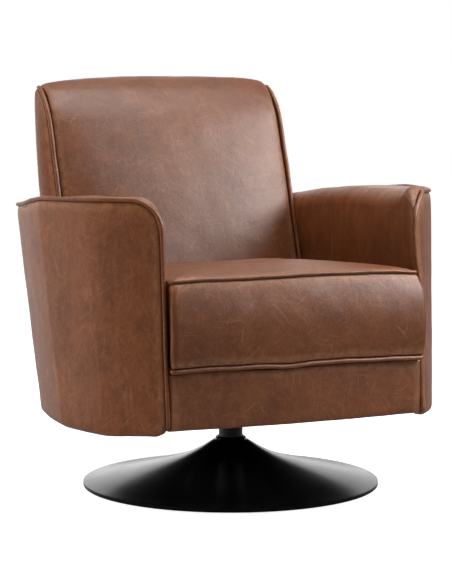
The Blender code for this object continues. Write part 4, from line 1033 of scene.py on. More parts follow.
def smooth_route(points, steps):
    """Even points on a smooth curve through a few given ones."""
    spots = np.asarray(points, dtype=float)
    ends = np.concatenate([[2 * spots[0] - spots[1]], spots, [2 * spots[-1] - spots[-2]]])
    route = []
    for a, b, c, d in zip(ends, ends[1:], ends[2:], ends[3:]):
        for t in np.arange(steps) / steps:
            route.append(0.5 * (2 * b + (c - a) * t + (2 * a - 5 * b + 4 * c - d) * t ** 2
                                + (3 * b - a - 3 * c + d) * t ** 3))
    route.append(spots[-1])
    return np.array(route)


SEAM_SIDE = smooth_route(
    [(between(BACK_SEAT_DEPTH, BACK_SEAM_DEPTH, depth), between(BACK_SEAT_HEIGHT, BACK_SEAM_HEIGHT, height))
     for depth, height in BACK_SEAM_SHARES], 8)
SEAM_RUN = run_along(SEAM_SIDE)


def back_line_at(height):
    """Depth of the back's side seam at a height."""
    return np.interp(height, SEAM_SIDE[:, 1], SEAM_SIDE[:, 0])


def outside_back(share, height):
    """Depth of the outside back's surface at a share of its half width."""
    centre, radius = tub_plan(height)
    edge = centre + np.sqrt(radius ** 2 - BACK_HALF ** 2)
    bow = between(LOW_BOW, TOP_BOW, (height - TUB_BOTTOM) / (BACK_SKIN_TOP - TUB_BOTTOM))
    return edge + bow * (1 - share ** 2) - rolled_under(height - TUB_BOTTOM)


TOP_DROP = {"left": 0.0, "right": 0.0055}
DROP_START, DROP_RUN = 0.735, 0.045
BACK_SEAMS = {}
for label, side in SIDES:
    route = np.insert(SEAM_SIDE, 0, side * BACK_CORD_X, axis=1)
    route[:, 2] -= TOP_DROP[label] * smooth((SEAM_SIDE[:, 1] - DROP_START) / DROP_RUN)
    BACK_SEAMS[label] = wander(route, 0.0008, 9.0 + side)
    cord("back_cord_" + label, BACK_SEAMS[label], "seat", "back_piping_" + label, seed=4 + side)
print("back seam length:", round(float(SEAM_RUN[-1]), 3))

# %% [markdown]
# ## The inside back
# One crowned panel climbs from the seat and rolls over the top between the two welts. It is made of upright
# columns: each follows the side seam, lifted by the crown, and then bends over to the rear panel. Tight
# stitches gather the leather at the welts. Pressing a flat sheet into shape would lose the seam's line.
# %% The line of one column of the back
BACK_PAD_LOW = 0.2702
BACK_CORNER = 0.0002
CROWN_UP, CROWN_ACROSS = 0.7, 2.6
TOP_START = 0.74
TOP_LIFT_SHARE = 0.66
REAR_SHARE = 0.97
HIDDEN_DROP = 0.012
PAD_LEAST = 0.006
TURN_REACH = 0.45
POST_FOOT = 0.178
POST_FOOT_DEPTH = 0.2123
POST_TOP = 0.745
POST_TOP_DEPTH = 0.352


def back_rear(share, height):
    """Depth of the hidden rear of the back pad: on the posts, then inside the outside back."""
    slope = (POST_TOP_DEPTH - POST_FOOT_DEPTH) * (height - POST_FOOT) / (POST_TOP - POST_FOOT)
    post = POST_FOOT_DEPTH + slope
    inside = outside_back(share * REAR_SHARE, np.minimum(height, BACK_SKIN_TOP)) - BACK_SKIN - GAP
    return np.where(height <= POST_TOP + 0.001, post - 0.004, inside - 0.001)


SEAM_TANGENT = soften(np.gradient(SEAM_SIDE, SEAM_RUN, axis=0), 6)
SEAM_TANGENT /= np.linalg.norm(SEAM_TANGENT, axis=1, keepdims=True)


def seam_place(run):
    """Depth and height on the side seam at a run along it, and the seam's direction there."""
    place = [np.interp(run, SEAM_RUN, SEAM_SIDE[:, k]) for k in (0, 1)]
    direction = [np.interp(run, SEAM_RUN, SEAM_TANGENT[:, k]) for k in (0, 1)]
    return place, direction


def back_column(share):
    """Front and back points of the back pad at one share across, from the seat over the top."""
    half = BACK_CORD_X - CORD_RADIUS - BACK_CORNER
    out = max(abs(share) * half - (half - BACK_TOP_ROUND), 0) / BACK_TOP_ROUND
    top_lift = (BACK_TOP - BACK_SEAM_HEIGHT) * TOP_LIFT_SHARE * math.sqrt(max(1 - out ** 2, 0))
    front, back = [], []
    length = SEAM_RUN[-1]
    for run in stations(length):
        (depth, height), (back_way, up_way) = seam_place(run)
        rise = min(max((height - BACK_PAD_LOW) / (BACK_TOP - BACK_PAD_LOW), 0), 1)
        crown = BACK_CROWN * math.sin(math.pi * rise) ** CROWN_UP * (1 - abs(share) ** CROWN_ACROSS) * up_way
        near_top = float(smooth((run / length - TOP_START) / (1 - TOP_START)))
        lift = crown * (1 - near_top) + top_lift * near_top + CORD_SUNK * (1 - near_top)
        y, z = depth - lift * up_way, height + lift * back_way
        front.append((share * half, y, z))
        hidden = min(z, BACK_SKIN_TOP - HIDDEN_DROP)
        rear = float(back_rear(share, hidden))
        back.append((share * half, max(rear, y + PAD_LEAST), hidden))
    rear_y = float(outside_back(share * REAR_SHARE, BACK_SKIN_TOP)) - 0.0006
    start = np.array(front[-1][1:])
    way = np.array((back_way, up_way))
    goal = np.array((rear_y, BACK_SKIN_TOP + 0.0008))
    reach = np.linalg.norm(goal - start)
    first, second = start + way * reach * TURN_REACH, goal + (0, reach * TURN_REACH)
    for t in share_steps(0.08, 0.004, 0.0016)[1:]:
        spot = (1 - t) ** 3 * start + 3 * t * (1 - t) ** 2 * first
        spot = spot + 3 * t * t * (1 - t) * second + t ** 3 * goal
        front.append((share * half, spot[0], spot[1]))
        hidden = BACK_SKIN_TOP - HIDDEN_DROP + 0.001 * t
        back.append((share * half, min(spot[0] + PAD_LEAST, rear_y - 0.004), hidden))
    return front, back


print("a column of the back has", len(back_column(0.0)[0]), "points")

# %% Make the inside back
BACK_DRAPE = {"pucker": 0.0011, "swell": 0.0018, "roll": (0.022, 0.0058)}
STITCH = {"size": 0.0013, "seed": 77.0, "reach": 0.0045}
STITCH_CLOSER = 1.9


def stitch_marks(away, along):
    """Short tight gathers at every few stitches."""
    return puckers(away, along * STITCH_CLOSER, **STITCH)


columns = [back_column(float(share)) for share in shares_across(0.256)]
front, back = (np.array(grid) for grid in zip(*columns))
seams = [(BACK_SEAMS[label], CORD_RADIUS) for label, side in SIDES]
back_pad = upholster("inside_back_cover", "back_pad", "back_pad", front, back, seams, 23.0,
                     extra=stitch_marks, **BACK_DRAPE)

# %% [markdown]
# ## The back's stuffed sides
# Behind each welt a narrow boxing closes the back's side. Beside the arms it is hidden and flat; above them
# it is stuffed and swells. It runs square to the welt, in rows from the welt to the outside back, because a
# box cut along the curve would be thin at the top and too wide at the arms.
# %% Make the stuffed sides
BOXING_FOOT = 0.274
BOXING_HEIGHT = 0.5125
BOXING_START = 0.541
BOXING_RISE = 0.012
BOXING_BULGE = 0.014
BOXING_THICK = 0.0060
BOXING_TOP = 0.786
LEAN_AT_TOP = 4.0
BOXING_DRAPE = {"pucker": 0.0006, "swell": 0.0009, "roll": (0.0030, 0.0010)}


def boxing_start(height):
    """0 beside the arms, 1 above them."""
    return smooth((height - BOXING_START) / BOXING_RISE)


def boxing_bulge(height):
    """How far the side swells out above the arms."""
    share = np.clip((height - BOXING_START) / (BACK_SKIN_TOP - BOXING_START), 0, 1)
    return BOXING_BULGE * boxing_start(height) * (1 - share ** 2) ** 0.75


def back_side(label, side):
    """The boxing between the welt and the outside back, which it overlaps above the arms."""
    outer_x = BACK_CORD_X + CORD_RADIUS - GAP
    set_off = CORD_RADIUS + 0.0010
    front, back = [], []
    step = 0.001
    for z in BOXING_FOOT + stations(BOXING_HEIGHT, 0.005):
        lean = LEAN_AT_TOP
        if z < BOXING_TOP:
            lean = float(back_line_at(z + step) - back_line_at(z)) / step
        stretch = math.hypot(1, lean)
        near = (float(back_line_at(z)) + set_off / stretch, z - set_off * lean / stretch)
        rear_z = min(z, BACK_SKIN_TOP)
        start = float(boxing_start(z))
        cover = BACK_SKIN + GAP - start * (BACK_SKIN + GAP - 0.0010)
        far = (float(outside_back(1.0, rear_z)) - cover, rear_z)
        bulge = float(boxing_bulge(z))
        row_front, row_back = [], []
        for deep in share_steps(0.12, 0.006):
            y, height = (between(a, b, deep) for a, b in zip(near, far))
            puff = math.sin(math.pi * min(deep / 1.25, 0.8)) ** 0.8 if deep > 0 else 0
            row_front.append((outer_x + bulge * puff, y, height))
            row_back.append((outer_x - BOXING_THICK + start * bulge * puff, y, height))
        front.append(row_front)
        back.append(row_back)
    front, back = sided(front, side), sided(back, side)
    seams = [(BACK_SEAMS[label], set_off - 0.0012), (front[:, -1], 0.0)]
    upholster("back_side_cover_" + label, "back_boxing_" + label, "back_sides", front, back, seams,
              31.0 * side, **BOXING_DRAPE)


for label, side in SIDES:
    back_side(label, side)

# %% [markdown]
# ## The outside back
# One bowed panel closes the rear from the lower edge to the top. Its width follows the boxings, which it
# tucks under above the arms, and it rolls under at its foot like the arms' panels.
# %% Make the outside back
heights = TUB_BOTTOM + stations(BACK_SKIN_TOP - TUB_BOTTOM)
share, height = np.meshgrid(shares_across(BACK_HALF), heights, indexing="ij")
side_x = BACK_CORD_X + CORD_RADIUS - GAP
above = side_x - BOXING_THICK + boxing_bulge(height) * math.sin(0.8 * math.pi) ** 0.8 - GAP / 2
half = between(BACK_HALF, above, boxing_start(height))
front = np.stack([share * half, outside_back(share, height), height], axis=-1)
inside = outside_back(share, np.maximum(height, TUB_BOTTOM + EDGE_ROUND)) - BACK_SKIN
back = np.stack([share * half, np.minimum(inside, outside_back(share, height) - 0.0006), height], axis=-1)
seams = [(front[0], 0.0), (front[-1], 0.0), (front[:, -1], 0.0)]
upholster("outside_back_cover", "outside_back_panel", "outside_back", front, back, seams, 41.0,
          roll=(0.006, 0.0026))

# %% [markdown]
# ## The seat cushion
# The cushion is a box: a flat bottom, a boxing strip that bulges at the front, and a crowned top, with a
# welt round both edges. Its front corners stand out a little as ears, and its filling pushes the front seams
# up unevenly. It could be a rounded block that is inflated, but the seams would drift, so it is built as
# rings, from the bottom edge up the boxing and in over the crown.
# %% Rings round the cushion
CUSHION_HALF = 0.2570
LOW_WELT = 0.2845
TOP_WELT = 0.4465
REAR_DROP = 0.034
LOW_FRONT = -0.3210
TOP_FRONT = -0.3030
FRONT_BOW = 0.009
CUSHION_BULGE = 0.016
CUSHION_CROWN = 0.026
CUSHION_CORNER = 0.009
EAR = 0.0072
EAR_SWELL = 0.0010
EAR_START = -0.3040
EAR_RUN = 0.012
SIDE_DRAW = 0.004
WELT_BEVEL = 0.0125
BACK_GAP = 0.004
RING_POINTS = 400
FRONT_LIFTS = {
    "lower": ((-0.257, 0.0015), (-0.19, 0.0042), (-0.10, 0.0030), (-0.03, 0.0008), (0.015, 0.0030),
              (0.08, 0.0042), (0.14, 0.0022), (0.20, 0.0008), (0.257, -0.0010)),
    "upper": ((-0.257, 0.0045), (-0.20, 0.0072), (-0.11, 0.0062), (-0.03, 0.0070), (0.015, 0.0082),
              (0.06, 0.0076), (0.14, 0.0062), (0.19, 0.0055), (0.225, 0.0030), (0.257, 0.0)),
}
LIFT_REACH = 0.22


def rounded_outline(half, front, rear, corner, count=RING_POINTS):
    """Even points round a box with rounded corners, starting at the middle of the rear."""
    pieces = []
    for cx, cy, start in ((-half + corner, rear - corner, 0.5), (-half + corner, front + corner, 1.0),
                          (half - corner, front + corner, 1.5), (half - corner, rear - corner, 2.0)):
        for turn in np.linspace(0, 0.5, 9):
            angle = math.pi * (start + turn)
            pieces.append((cx + corner * math.cos(angle), cy + corner * math.sin(angle), 0))
    loop = np.array([(0, rear, 0)] + pieces + [(0, rear, 0)])
    run = run_along(loop)
    at = np.linspace(0, run[-1], count, endpoint=False)
    return np.stack([np.interp(at, run, loop[:, k]) for k in range(2)], axis=-1)


def front_lift(x, y, level):
    """How much higher the seams run at the front than a straight cut, as the filling pushes them up."""
    nearness = smooth((TOP_FRONT + LIFT_REACH - y) / LIFT_REACH)
    spot = np.clip(x, -0.257, 0.257)
    low, high = (hand_set(FRONT_LIFTS[seam], spot) for seam in ("lower", "upper"))
    return nearness * between(low, high, level)


def cushion_ring(level, inset, bulge, lift=0.0):
    """A ring from the lower welt at level 0 to the upper welt at level 1."""
    height = between(LOW_WELT, TOP_WELT, level)
    front = between(LOW_FRONT, TOP_FRONT, level) + inset - bulge
    rear = float(back_line_at(height - REAR_DROP * level)) - BACK_CROWN - BACK_GAP - inset
    half = CUSHION_HALF - inset
    corner = max(CUSHION_CORNER - inset, CUSHION_CORNER / 4)
    outline = rounded_outline(half, front, rear, corner)
    x, y = outline[:, 0], outline[:, 1]
    middle = (front + rear) / 2
    bow = FRONT_BOW * (1 - (x / CUSHION_HALF) ** 2)
    nearness = np.maximum(0, (middle - y) / (middle - front)) ** 4
    draw = SIDE_DRAW * (1 - ((y - middle) / (middle - front)) ** 2) * np.abs(x) / half
    swell = EAR + EAR_SWELL * math.sin(math.pi * level) ** 0.5
    ear = swell * np.clip((EAR_START - y) / EAR_RUN, 0, 1) * np.abs(x) / half
    drop = REAR_DROP * (y - front) / (rear - front) * level
    z = height - drop + lift + front_lift(x, y, level)
    return np.stack([x + np.sign(x) * (ear - draw), y - bow * nearness, z], axis=-1)


print("cushion ring points:", RING_POINTS)

# %% The cushion's two welts
TOP_CORD = 0.0033
LOW_CORD = 0.0042
STRAY_SIZE = (0.0008, 0.0008, 0.0012)
STRAY_FRONT, STRAY_FADE = -0.25, 0.04
CUSHION_SEAMS = {}
for label, level, seed, size in (("lower", 0, 2.0, LOW_CORD), ("upper", 1, 6.0, TOP_CORD)):
    route = cushion_ring(level, GAP, 0)
    stray = np.stack([field(route, 0.045, seed + k) for k in range(3)], axis=-1) * STRAY_SIZE
    front_only = smooth((STRAY_FRONT - route[:, 1]) / STRAY_FADE)[:, None]
    CUSHION_SEAMS[label] = route + stray * front_only
    cord("cushion_cord_" + label, CUSHION_SEAMS[label], "seat", "cushion_piping_" + label, True, seed, size)
print("cushion welts:", list(CUSHION_SEAMS))

# %% [markdown]
# ## Letting the cover settle
# A cover is cut a little too large for its filling, and the filling pushes it out against its seams. Cloth
# simulation does the same: the seams are held, the air inside pushes, and the cover gathers itself. Left
# alone it would swell too far for a cover as tight as this one, so its movement is scaled down as a whole.
# %% Settle a cover by cloth simulation
SETTLE_FRAMES = 12
CLOTH_RULES = {
    "quality": 3, "mass": 0.4, "tension_stiffness": 30, "compression_stiffness": 30, "shear_stiffness": 12,
    "bending_stiffness": 3.0, "vertex_group_mass": "held", "use_pressure": True,
}


def settle(piece, held, spare, limit, pressure):
    """Lets a cover that is a share too large swell against its held seams, and keeps a limited part of it."""
    mesh = piece.data
    start = read_all(mesh.vertices, "co", 3)
    group = piece.vertex_groups.new(name="held")
    group.add(np.flatnonzero(held).tolist(), 1.0, "REPLACE")
    cloth = piece.modifiers.new("settling", "CLOTH")
    for key, value in CLOTH_RULES.items():
        setattr(cloth.settings, key, value)
    cloth.settings.shrink_min = -spare
    cloth.settings.uniform_pressure_force = pressure
    cloth.settings.effector_weights.gravity = 0
    cloth.point_cache.frame_end = SETTLE_FRAMES
    for step in range(1, SETTLE_FRAMES + 1):
        bpy.context.scene.frame_set(step)
    settled = piece.evaluated_get(bpy.context.evaluated_depsgraph_get())
    shift = read_all(settled.data.vertices, "co", 3) - start
    far = np.linalg.norm(shift, axis=1).max()
    shift *= min(limit / far, 1)
    piece.modifiers.remove(cloth)
    piece.vertex_groups.remove(group)
    mesh.vertices.foreach_set("co", (start + shift).ravel())
    mesh.update()
    bpy.context.scene.frame_set(1)
    kept = round(min(far, limit) * 1000, 1)
    print(piece.name, "swelled by, mm:", round(far * 1000, 1), "and keeps, mm:", kept)


print("a cover settles for", SETTLE_FRAMES, "frames")

# %% Skin a stack of rings
PUCKER_WIDER = 0.6
RING_PUCKER_REACH = 0.009
RING_ROLL = (0.010, 0.0034)
TOP_IN_HIDE = (0.7, 0.2, 0.3)


def ring_solid(name, rings, material, seams, seed, boxing_rows, pucker, swell):
    """Skins closed rings, bottom to top, moves the skin along its normals and closes both ends."""
    lowest, highest = boxing_rows
    grid = np.array(rings)
    wrapped = np.concatenate([grid[:, -1:], grid, grid[:, :1]], axis=1)
    normal = np.cross(np.gradient(wrapped, axis=1), np.gradient(wrapped, axis=0))[:, 1:-1]
    normal /= np.maximum(np.linalg.norm(normal, axis=2, keepdims=True), 1e-12)
    middle = grid.reshape(-1, 3).mean(axis=0)
    normal *= np.sign(np.mean(np.sum(normal * (grid - middle), axis=2)))
    away, along = nearest_seam(grid, seams)
    lift = puckers(away, along * PUCKER_WIDER, pucker, seed, RING_PUCKER_REACH)
    lift += swells(grid, away, swell, seed)
    lift -= seam_roll(away, RING_ROLL)
    lift[:lowest] = 0
    grid = grid + normal * lift[..., None]
    rows, count = grid.shape[:2]
    faces = grid_faces(rows, count, False, True).tolist() + end_faces(rows, count)
    points = grid.reshape(-1, 3)
    around = run_along(grid[lowest])
    boxing = np.stack([np.tile(around, rows), points[:, 2], 0 * points[:, 2]], axis=-1)
    top = points * (1, 1, 0) + TOP_IN_HIDE
    row = np.repeat(np.arange(rows - 1), count)
    on_boxing = (row >= lowest) & (row < highest)
    tables = np.concatenate([np.where(on_boxing, 0, 1), [1, 1]])
    return link_mesh(name, points, faces, material, away.ravel(), [boxing, top], tables)


print("a skin over rings is gathered wider than a flat panel, by", PUCKER_WIDER)

# %% The cushion's body
INSIDE_WELT = ((0.30, -0.0003), (0.55, TOP_CORD * 0.6), (0.80, TOP_CORD * 1.1))
WELT_TOP = TOP_CORD * 1.5
BULGE_ROUND = 0.85
CROWN_ROUND = 3.0
CUSHION_SETTLE = {"spare": 0.002, "limit": 0.0030, "pressure": 2.0}
SEWN_DOWN = 0.0030

edge = WELT_BEVEL - CORD_RADIUS
rings = [cushion_ring(0, WELT_BEVEL + 0.06, 0, -CORD_RADIUS), cushion_ring(0, WELT_BEVEL, 0, -CORD_RADIUS)]
lowest = len(rings)
rings.append(cushion_ring(0, WELT_BEVEL * 0.35, 0, 0.0005))
start, end = edge * 0.55, (TOP_WELT - LOW_WELT) - edge * 0.45
for place in start + stations(end - start, 0.0050, 0.0014):
    level = place / (TOP_WELT - LOW_WELT)
    rings.append(cushion_ring(level, 0, CUSHION_BULGE * math.sin(math.pi * level) ** BULGE_ROUND))
boxing_rows = (lowest, len(rings))
for part, lift in INSIDE_WELT:
    rings.append(cushion_ring(1, WELT_BEVEL * part, 0, lift))
rim = cushion_ring(1, WELT_BEVEL, 0, WELT_TOP)
centre = rim.mean(axis=0)
for share in 1 - stations(1.0, 0.028, 0.008)[:-3]:
    rise = (CUSHION_CROWN - WELT_TOP) * (1 - share ** CROWN_ROUND)
    rings.append(between(centre, rim, share) + (0, 0, rise))
seams = [(np.concatenate([CUSHION_SEAMS[label], CUSHION_SEAMS[label][:1]]), size)
         for label, size in (("lower", LOW_CORD), ("upper", TOP_CORD))]
cushion = ring_solid("seat_cushion_cover", rings, LEATHERS["cushion"], seams, 51.0, boxing_rows,
                     pucker=0.0009, swell=0.0020)
near = read_all(cushion.data.attributes["seam"].data, "value")
near[: lowest * RING_POINTS] = 0
settle(cushion, near < SEWN_DOWN, **CUSHION_SETTLE)
dress(cushion, "seat", "leather", "seat_cushion")
print("cushion faces:", len(cushion.data.polygons))

# %% [markdown]
# ## The front border
# Under the cushion, a padded strip of leather covers the frame's front rail. It bows forward a little, rolls
# under at its lower edge, and disappears behind the lower welt at the top.
# %% Make the border
BORDER_BOTTOM = 0.172
BORDER_HALF = 0.2622
BORDER_SIDE_FRONT = -0.3060
BORDER_BOW = 0.013
BORDER_EDGE = 0.010
BORDER_SWELL = 0.0030
BORDER_REAR = -0.2838

border_top = LOW_WELT - CORD_RADIUS - GAP * 2
tall = border_top - BORDER_BOTTOM
share, above = np.meshgrid(shares_across(BORDER_HALF), stations(tall), indexing="ij")
draw = seam_roll(above, (BORDER_EDGE, BORDER_EDGE)) + seam_roll(tall - above)
puff = BORDER_SWELL * np.sin(np.pi * above / tall) ** 0.7
depth = BORDER_SIDE_FRONT - BORDER_BOW * (1 - share ** 2) + draw - puff
climb = front_lift(share * BORDER_HALF, depth, 0.0) * (above / tall) ** 3
front = np.stack([share * BORDER_HALF, depth, BORDER_BOTTOM + above + climb], axis=-1)
back = front * (1, 0, 1) + (0, BORDER_REAR, 0)
back[:, -1, 2] += 0.003
seams = [(front[0], 0.0), (front[-1], 0.0), (front[:, -1], 0.0)]
upholster("front_border_cover", "front_border", "border", front, back, seams, 61.0)

# %% [markdown]
# ## The pedestal
# The base is a steel sheet spun to a trumpet and enamelled black. The frame's own solid is faceted, and a
# glossy round thing shows every facet, so the trumpet and its collar are turned again with many more sides.
# The enamel is nearly even; faint dust and a little variation in gloss keep it from looking like a mirror.
# %% Recipes for enamel, metal and plastic
DUST_COLOUR = (0.16, 0.155, 0.15)
ENAMEL_UNEVEN = 0.03


def make_enamel(name, colour, roughness, dust, shine=0.5):
    """Black enamel with faint dust on what looks up."""
    material, tree, shader, place = new_material(name)
    film = use(tree, DUST, place, Amount=dust, Scale=26.0)["Mask"]
    haze = use(tree, CLOUDS, place, Scale=14.0, Contrast=0.3)["Mask"]
    shade = blend(tree, film, colour, DUST_COLOUR)
    even = ramp(tree, haze, 0.0, 1.0, roughness - ENAMEL_UNEVEN, roughness + ENAMEL_UNEVEN)
    gloss = plus(tree, even, times(tree, film, 0.5))
    ripple = noise_value(tree, place, 90.0, 3.0)
    drive(tree, shader, shade, gloss, (ripple,), 0.00002)
    shader.inputs["Specular IOR Level"].default_value = shine
    return material


def make_metal(name, colour, roughness, rings):
    """Plated or bright steel with turning marks."""
    material, tree, shader, place = new_material(name)
    marks = use(tree, BRUSHING, place, Rings=rings, Blotch=40.0)
    shade = blend(tree, marks["Mask"], colour, tuple(0.8 * c for c in colour))
    gloss = ramp(tree, marks["Mask"], 0.0, 1.0, roughness, roughness + 0.12)
    drive(tree, shader, shade, gloss, (marks["Height"],), 0.00001)
    shader.inputs["Metallic"].default_value = 1.0
    return material


def make_plain(name, dark, light, roughness, depth, scale):
    """Moulded plastic, rubber or felt: a fine cloud in colour and surface."""
    material, tree, shader, place = new_material(name)
    cloud = use(tree, CLOUDS, place, Scale=scale, Contrast=0.5)["Mask"]
    fuzz = noise_value(tree, place, scale * 14, 4.0, 0.7)
    drive(tree, shader, blend(tree, cloud, dark, light), ramp(tree, cloud, 0, 1, roughness, roughness + 0.08),
          (fuzz,), depth)
    return material


print("recipes for enamel, metal and plastic are ready")

# %% Recipes for timber and cloth
TIMBER_DARK, TIMBER_PALE = (0.42, 0.27, 0.14), (0.62, 0.45, 0.27)


def make_timber(name, turn):
    """Planed softwood with streaks along the piece."""
    material, tree, shader, place = new_material(name)
    along = add(tree, "Mapping", Vector=place, Rotation=turn).outputs[0]
    grain = use(tree, WOOD_GRAIN, along, Scale=9.0)
    shade = blend(tree, grain["Mask"], TIMBER_DARK, TIMBER_PALE)
    drive(tree, shader, shade, ramp(tree, grain["Mask"], 0, 1, 0.55, 0.7), (grain["Height"],), 0.0003)
    return material


def make_cloth(name, dark, light, threads):
    """Woven cloth."""
    material, tree, shader, place = new_material(name)
    weave = use(tree, WEAVE, place, Threads=threads)
    shade = blend(tree, weave["Mask"], dark, light)
    drive(tree, shader, shade, ramp(tree, weave["Mask"], 0, 1, 0.95, 0.85), (weave["Height"],), 0.0003)
    return material


print("recipes for timber and cloth are ready")

# %% Mix the finishes
QUARTER = math.pi / 2
ENAMEL = make_enamel("black_enamel", (0.0010, 0.0010, 0.0013), 0.19, 0.002, 0.13)
COLUMN_ENAMEL = make_enamel("black_powder_coat", (0.008, 0.008, 0.010), 0.30, 0.02)
ZINC = make_metal("zinc_plate", (0.62, 0.62, 0.60), 0.28, 700.0)
PLASTIC = make_plain("bush_plastic", (0.72, 0.70, 0.64), (0.82, 0.81, 0.77), 0.4, 0.00003, 40.0)
RUBBER = make_plain("pad_rubber", (0.012, 0.012, 0.012), (0.024, 0.024, 0.024), 0.75, 0.0001, 50.0)
FELT = make_plain("deck_felt", (0.05, 0.035, 0.025), (0.13, 0.09, 0.065), 0.88, 0.0006, 60.0)
CLOTH = make_cloth("dust_cloth", (0.006, 0.006, 0.006), (0.028, 0.028, 0.028), 260.0)
WEBBING = make_cloth("webbing_cloth", (0.008, 0.008, 0.008), (0.05, 0.05, 0.05), 150.0)
TIMBER_DEEP = make_timber("timber_front_to_rear", (0, 0, 0))
TIMBER_WIDE = make_timber("timber_side_to_side", (0, 0, QUARTER))
TIMBER_HIGH = make_timber("timber_upright", (QUARTER, 0, 0))
print("enamel, metal, timber and cloth finishes are ready")

# %% How to turn a piece
TURN_SIDES = 192
DISC_RADIUS = 0.295
RIM_TOP = 0.0105
RIM_BOTTOM = 0.0028
TRUMPET_TOP = 0.0925
TRUMPET_TOP_RADIUS = 0.0310
SHEET = 0.0016
COLUMN_RADIUS = 0.024
TRUMPET_SHARES = (
    (1.0, 0.0), (0.900, 0.062), (0.740, 0.178), (0.550, 0.320), (0.380, 0.462), (0.250, 0.592),
    (0.166, 0.710), (0.100, 0.822), (0.052, 0.920), (0.012, 1.0),
)


def turned(name, profile, material, slot, node, sides=TURN_SIDES):
    """Turns a closed profile of radius and height pairs about the upright axis."""
    angle = 2 * np.pi * np.arange(sides) / sides
    grid = np.array([
        np.stack([r * np.cos(angle), r * np.sin(angle), np.full(sides, z)], axis=-1) for r, z in profile
    ])
    faces = grid_faces(len(profile), sides, True, True).tolist()
    piece = link_mesh(name, grid.reshape(-1, 3), faces, material, smooth_angle=35)
    dress(piece, "pedestal", slot, node)
    return piece


print("a turned piece has", TURN_SIDES, "sides")

# %% Turn the trumpet
reach, climb = DISC_RADIUS - TRUMPET_TOP_RADIUS, TRUMPET_TOP - RIM_TOP
upper = smooth_route([(TRUMPET_TOP_RADIUS + reach * r, RIM_TOP + climb * z) for r, z in TRUMPET_SHARES], 6)
rim_round = [
    (DISC_RADIUS - SHEET * (1 - math.cos(turn)), RIM_BOTTOM + SHEET * (1 - math.sin(turn)))
    for turn in np.linspace(math.pi / 2, 0, 5)
]
inner = []
for before, here, after in zip(upper[:-2:3], upper[1:-1:3], upper[2::3]):
    along = np.array(after) - np.array(before)
    along /= np.linalg.norm(along)
    inner.append((here[0] + SHEET * along[1] * -1, here[1] + SHEET * along[0]))
profile = rim_round + [tuple(p) for p in upper]
profile += [(COLUMN_RADIUS + 0.0006, TRUMPET_TOP), (COLUMN_RADIUS + 0.0006, TRUMPET_TOP - SHEET)]
profile += inner[::-1] + [(DISC_RADIUS - SHEET, RIM_BOTTOM + SHEET)]
turned("turned_trumpet", profile, ENAMEL, "black_steel", "base_trumpet")
print("trumpet profile points:", len(upper))

# %% Turn the collar and the column
COLLAR_RADIUS, COLLAR_HEIGHT, COLLAR_GAP = 0.0305, 0.0062, 0.0003
BORE, FOOT, HEAD, EDGE = COLUMN_RADIUS - 0.0035, 0.0086, 0.1465, 0.0006

ring_middle = (COLUMN_RADIUS + COLLAR_GAP + COLLAR_RADIUS) / 2
ring_spread = (COLLAR_RADIUS - COLUMN_RADIUS - COLLAR_GAP) / 2
ring_low = TRUMPET_TOP + COLLAR_GAP
profile = [
    (ring_middle + ring_spread * math.cos(a), ring_low + COLLAR_HEIGHT / 2 * (1 + math.sin(a)))
    for a in np.arange(20) * math.pi / 10
]
turned("turned_collar", profile, ENAMEL, "black_steel", "column_collar", 96)
profile = [(BORE, FOOT), (COLUMN_RADIUS, FOOT), (COLUMN_RADIUS, HEAD - EDGE), (COLUMN_RADIUS - EDGE, HEAD),
           (BORE, HEAD)]
turned("turned_column", profile, COLUMN_ENAMEL, "black_steel", "column_tube", 96)
print("collar profile and column stand on the trumpet at", TRUMPET_TOP)

# %% [markdown]
# ## Finishes for the frame's own solids
# The hard pieces keep the frame's meshes. Each gets a finish by the name of its node, and timber is given
# the direction in which the board was sawn.
# %% Give every kept solid its finish
FINISHES = (
    ("floor_pad", RUBBER), ("weight_plate", COLUMN_ENAMEL), ("swivel_plate", COLUMN_ENAMEL),
    ("upper_bush", PLASTIC), ("lower_bush", PLASTIC), ("thrust_bearing", ZINC), ("spindle", ZINC),
    ("retaining_clip", ZINC), ("plate_bolt", ZINC), ("seat_spring", ZINC), ("dust_cover", CLOTH),
    ("back_webbing", WEBBING), ("seat_deck", FELT), ("mounting_board", TIMBER_DEEP),
    ("frame_front_rail", TIMBER_WIDE), ("frame_rear_rail", TIMBER_WIDE), ("frame_side_rail", TIMBER_DEEP),
    ("corner_block", TIMBER_HIGH), ("arm_post", TIMBER_HIGH), ("arm_rail", TIMBER_DEEP),
    ("back_post", TIMBER_HIGH), ("back_top_rail", TIMBER_WIDE), ("back_lumbar_rail", TIMBER_WIDE),
)
finished = 0
for name, thing in nodes.items():
    for start, material in FINISHES:
        if name.startswith(start):
            thing.data.materials.clear()
            thing.data.materials.append(material)
            finished += 1
print("frame solids finished:", finished)

# %% [markdown]
# ## The floor
# The chair stands in a white studio. The floor is white paint with light of its own for the camera, so that
# it reads as white and still keeps the chair's shadow. In the enamel it looks dim at the front and bright at
# the rear, as a long studio floor does. Plain bright paint would do for the leather, but not for the enamel.
# %% Lay the floor
FLOOR_HALF = 30.0
FLOOR_DOWN = -0.0004
FLOOR_PAINT = (0.60, 0.60, 0.60, 1)
WHITE = (1, 1, 1, 1)
FLOOR_GLOW = 0.87
WALL_RIGHT_GLOSS = 0.35
FLOOR_FRONT_GLOSS = 0.08
FLOOR_REAR_GLOSS = 0.90


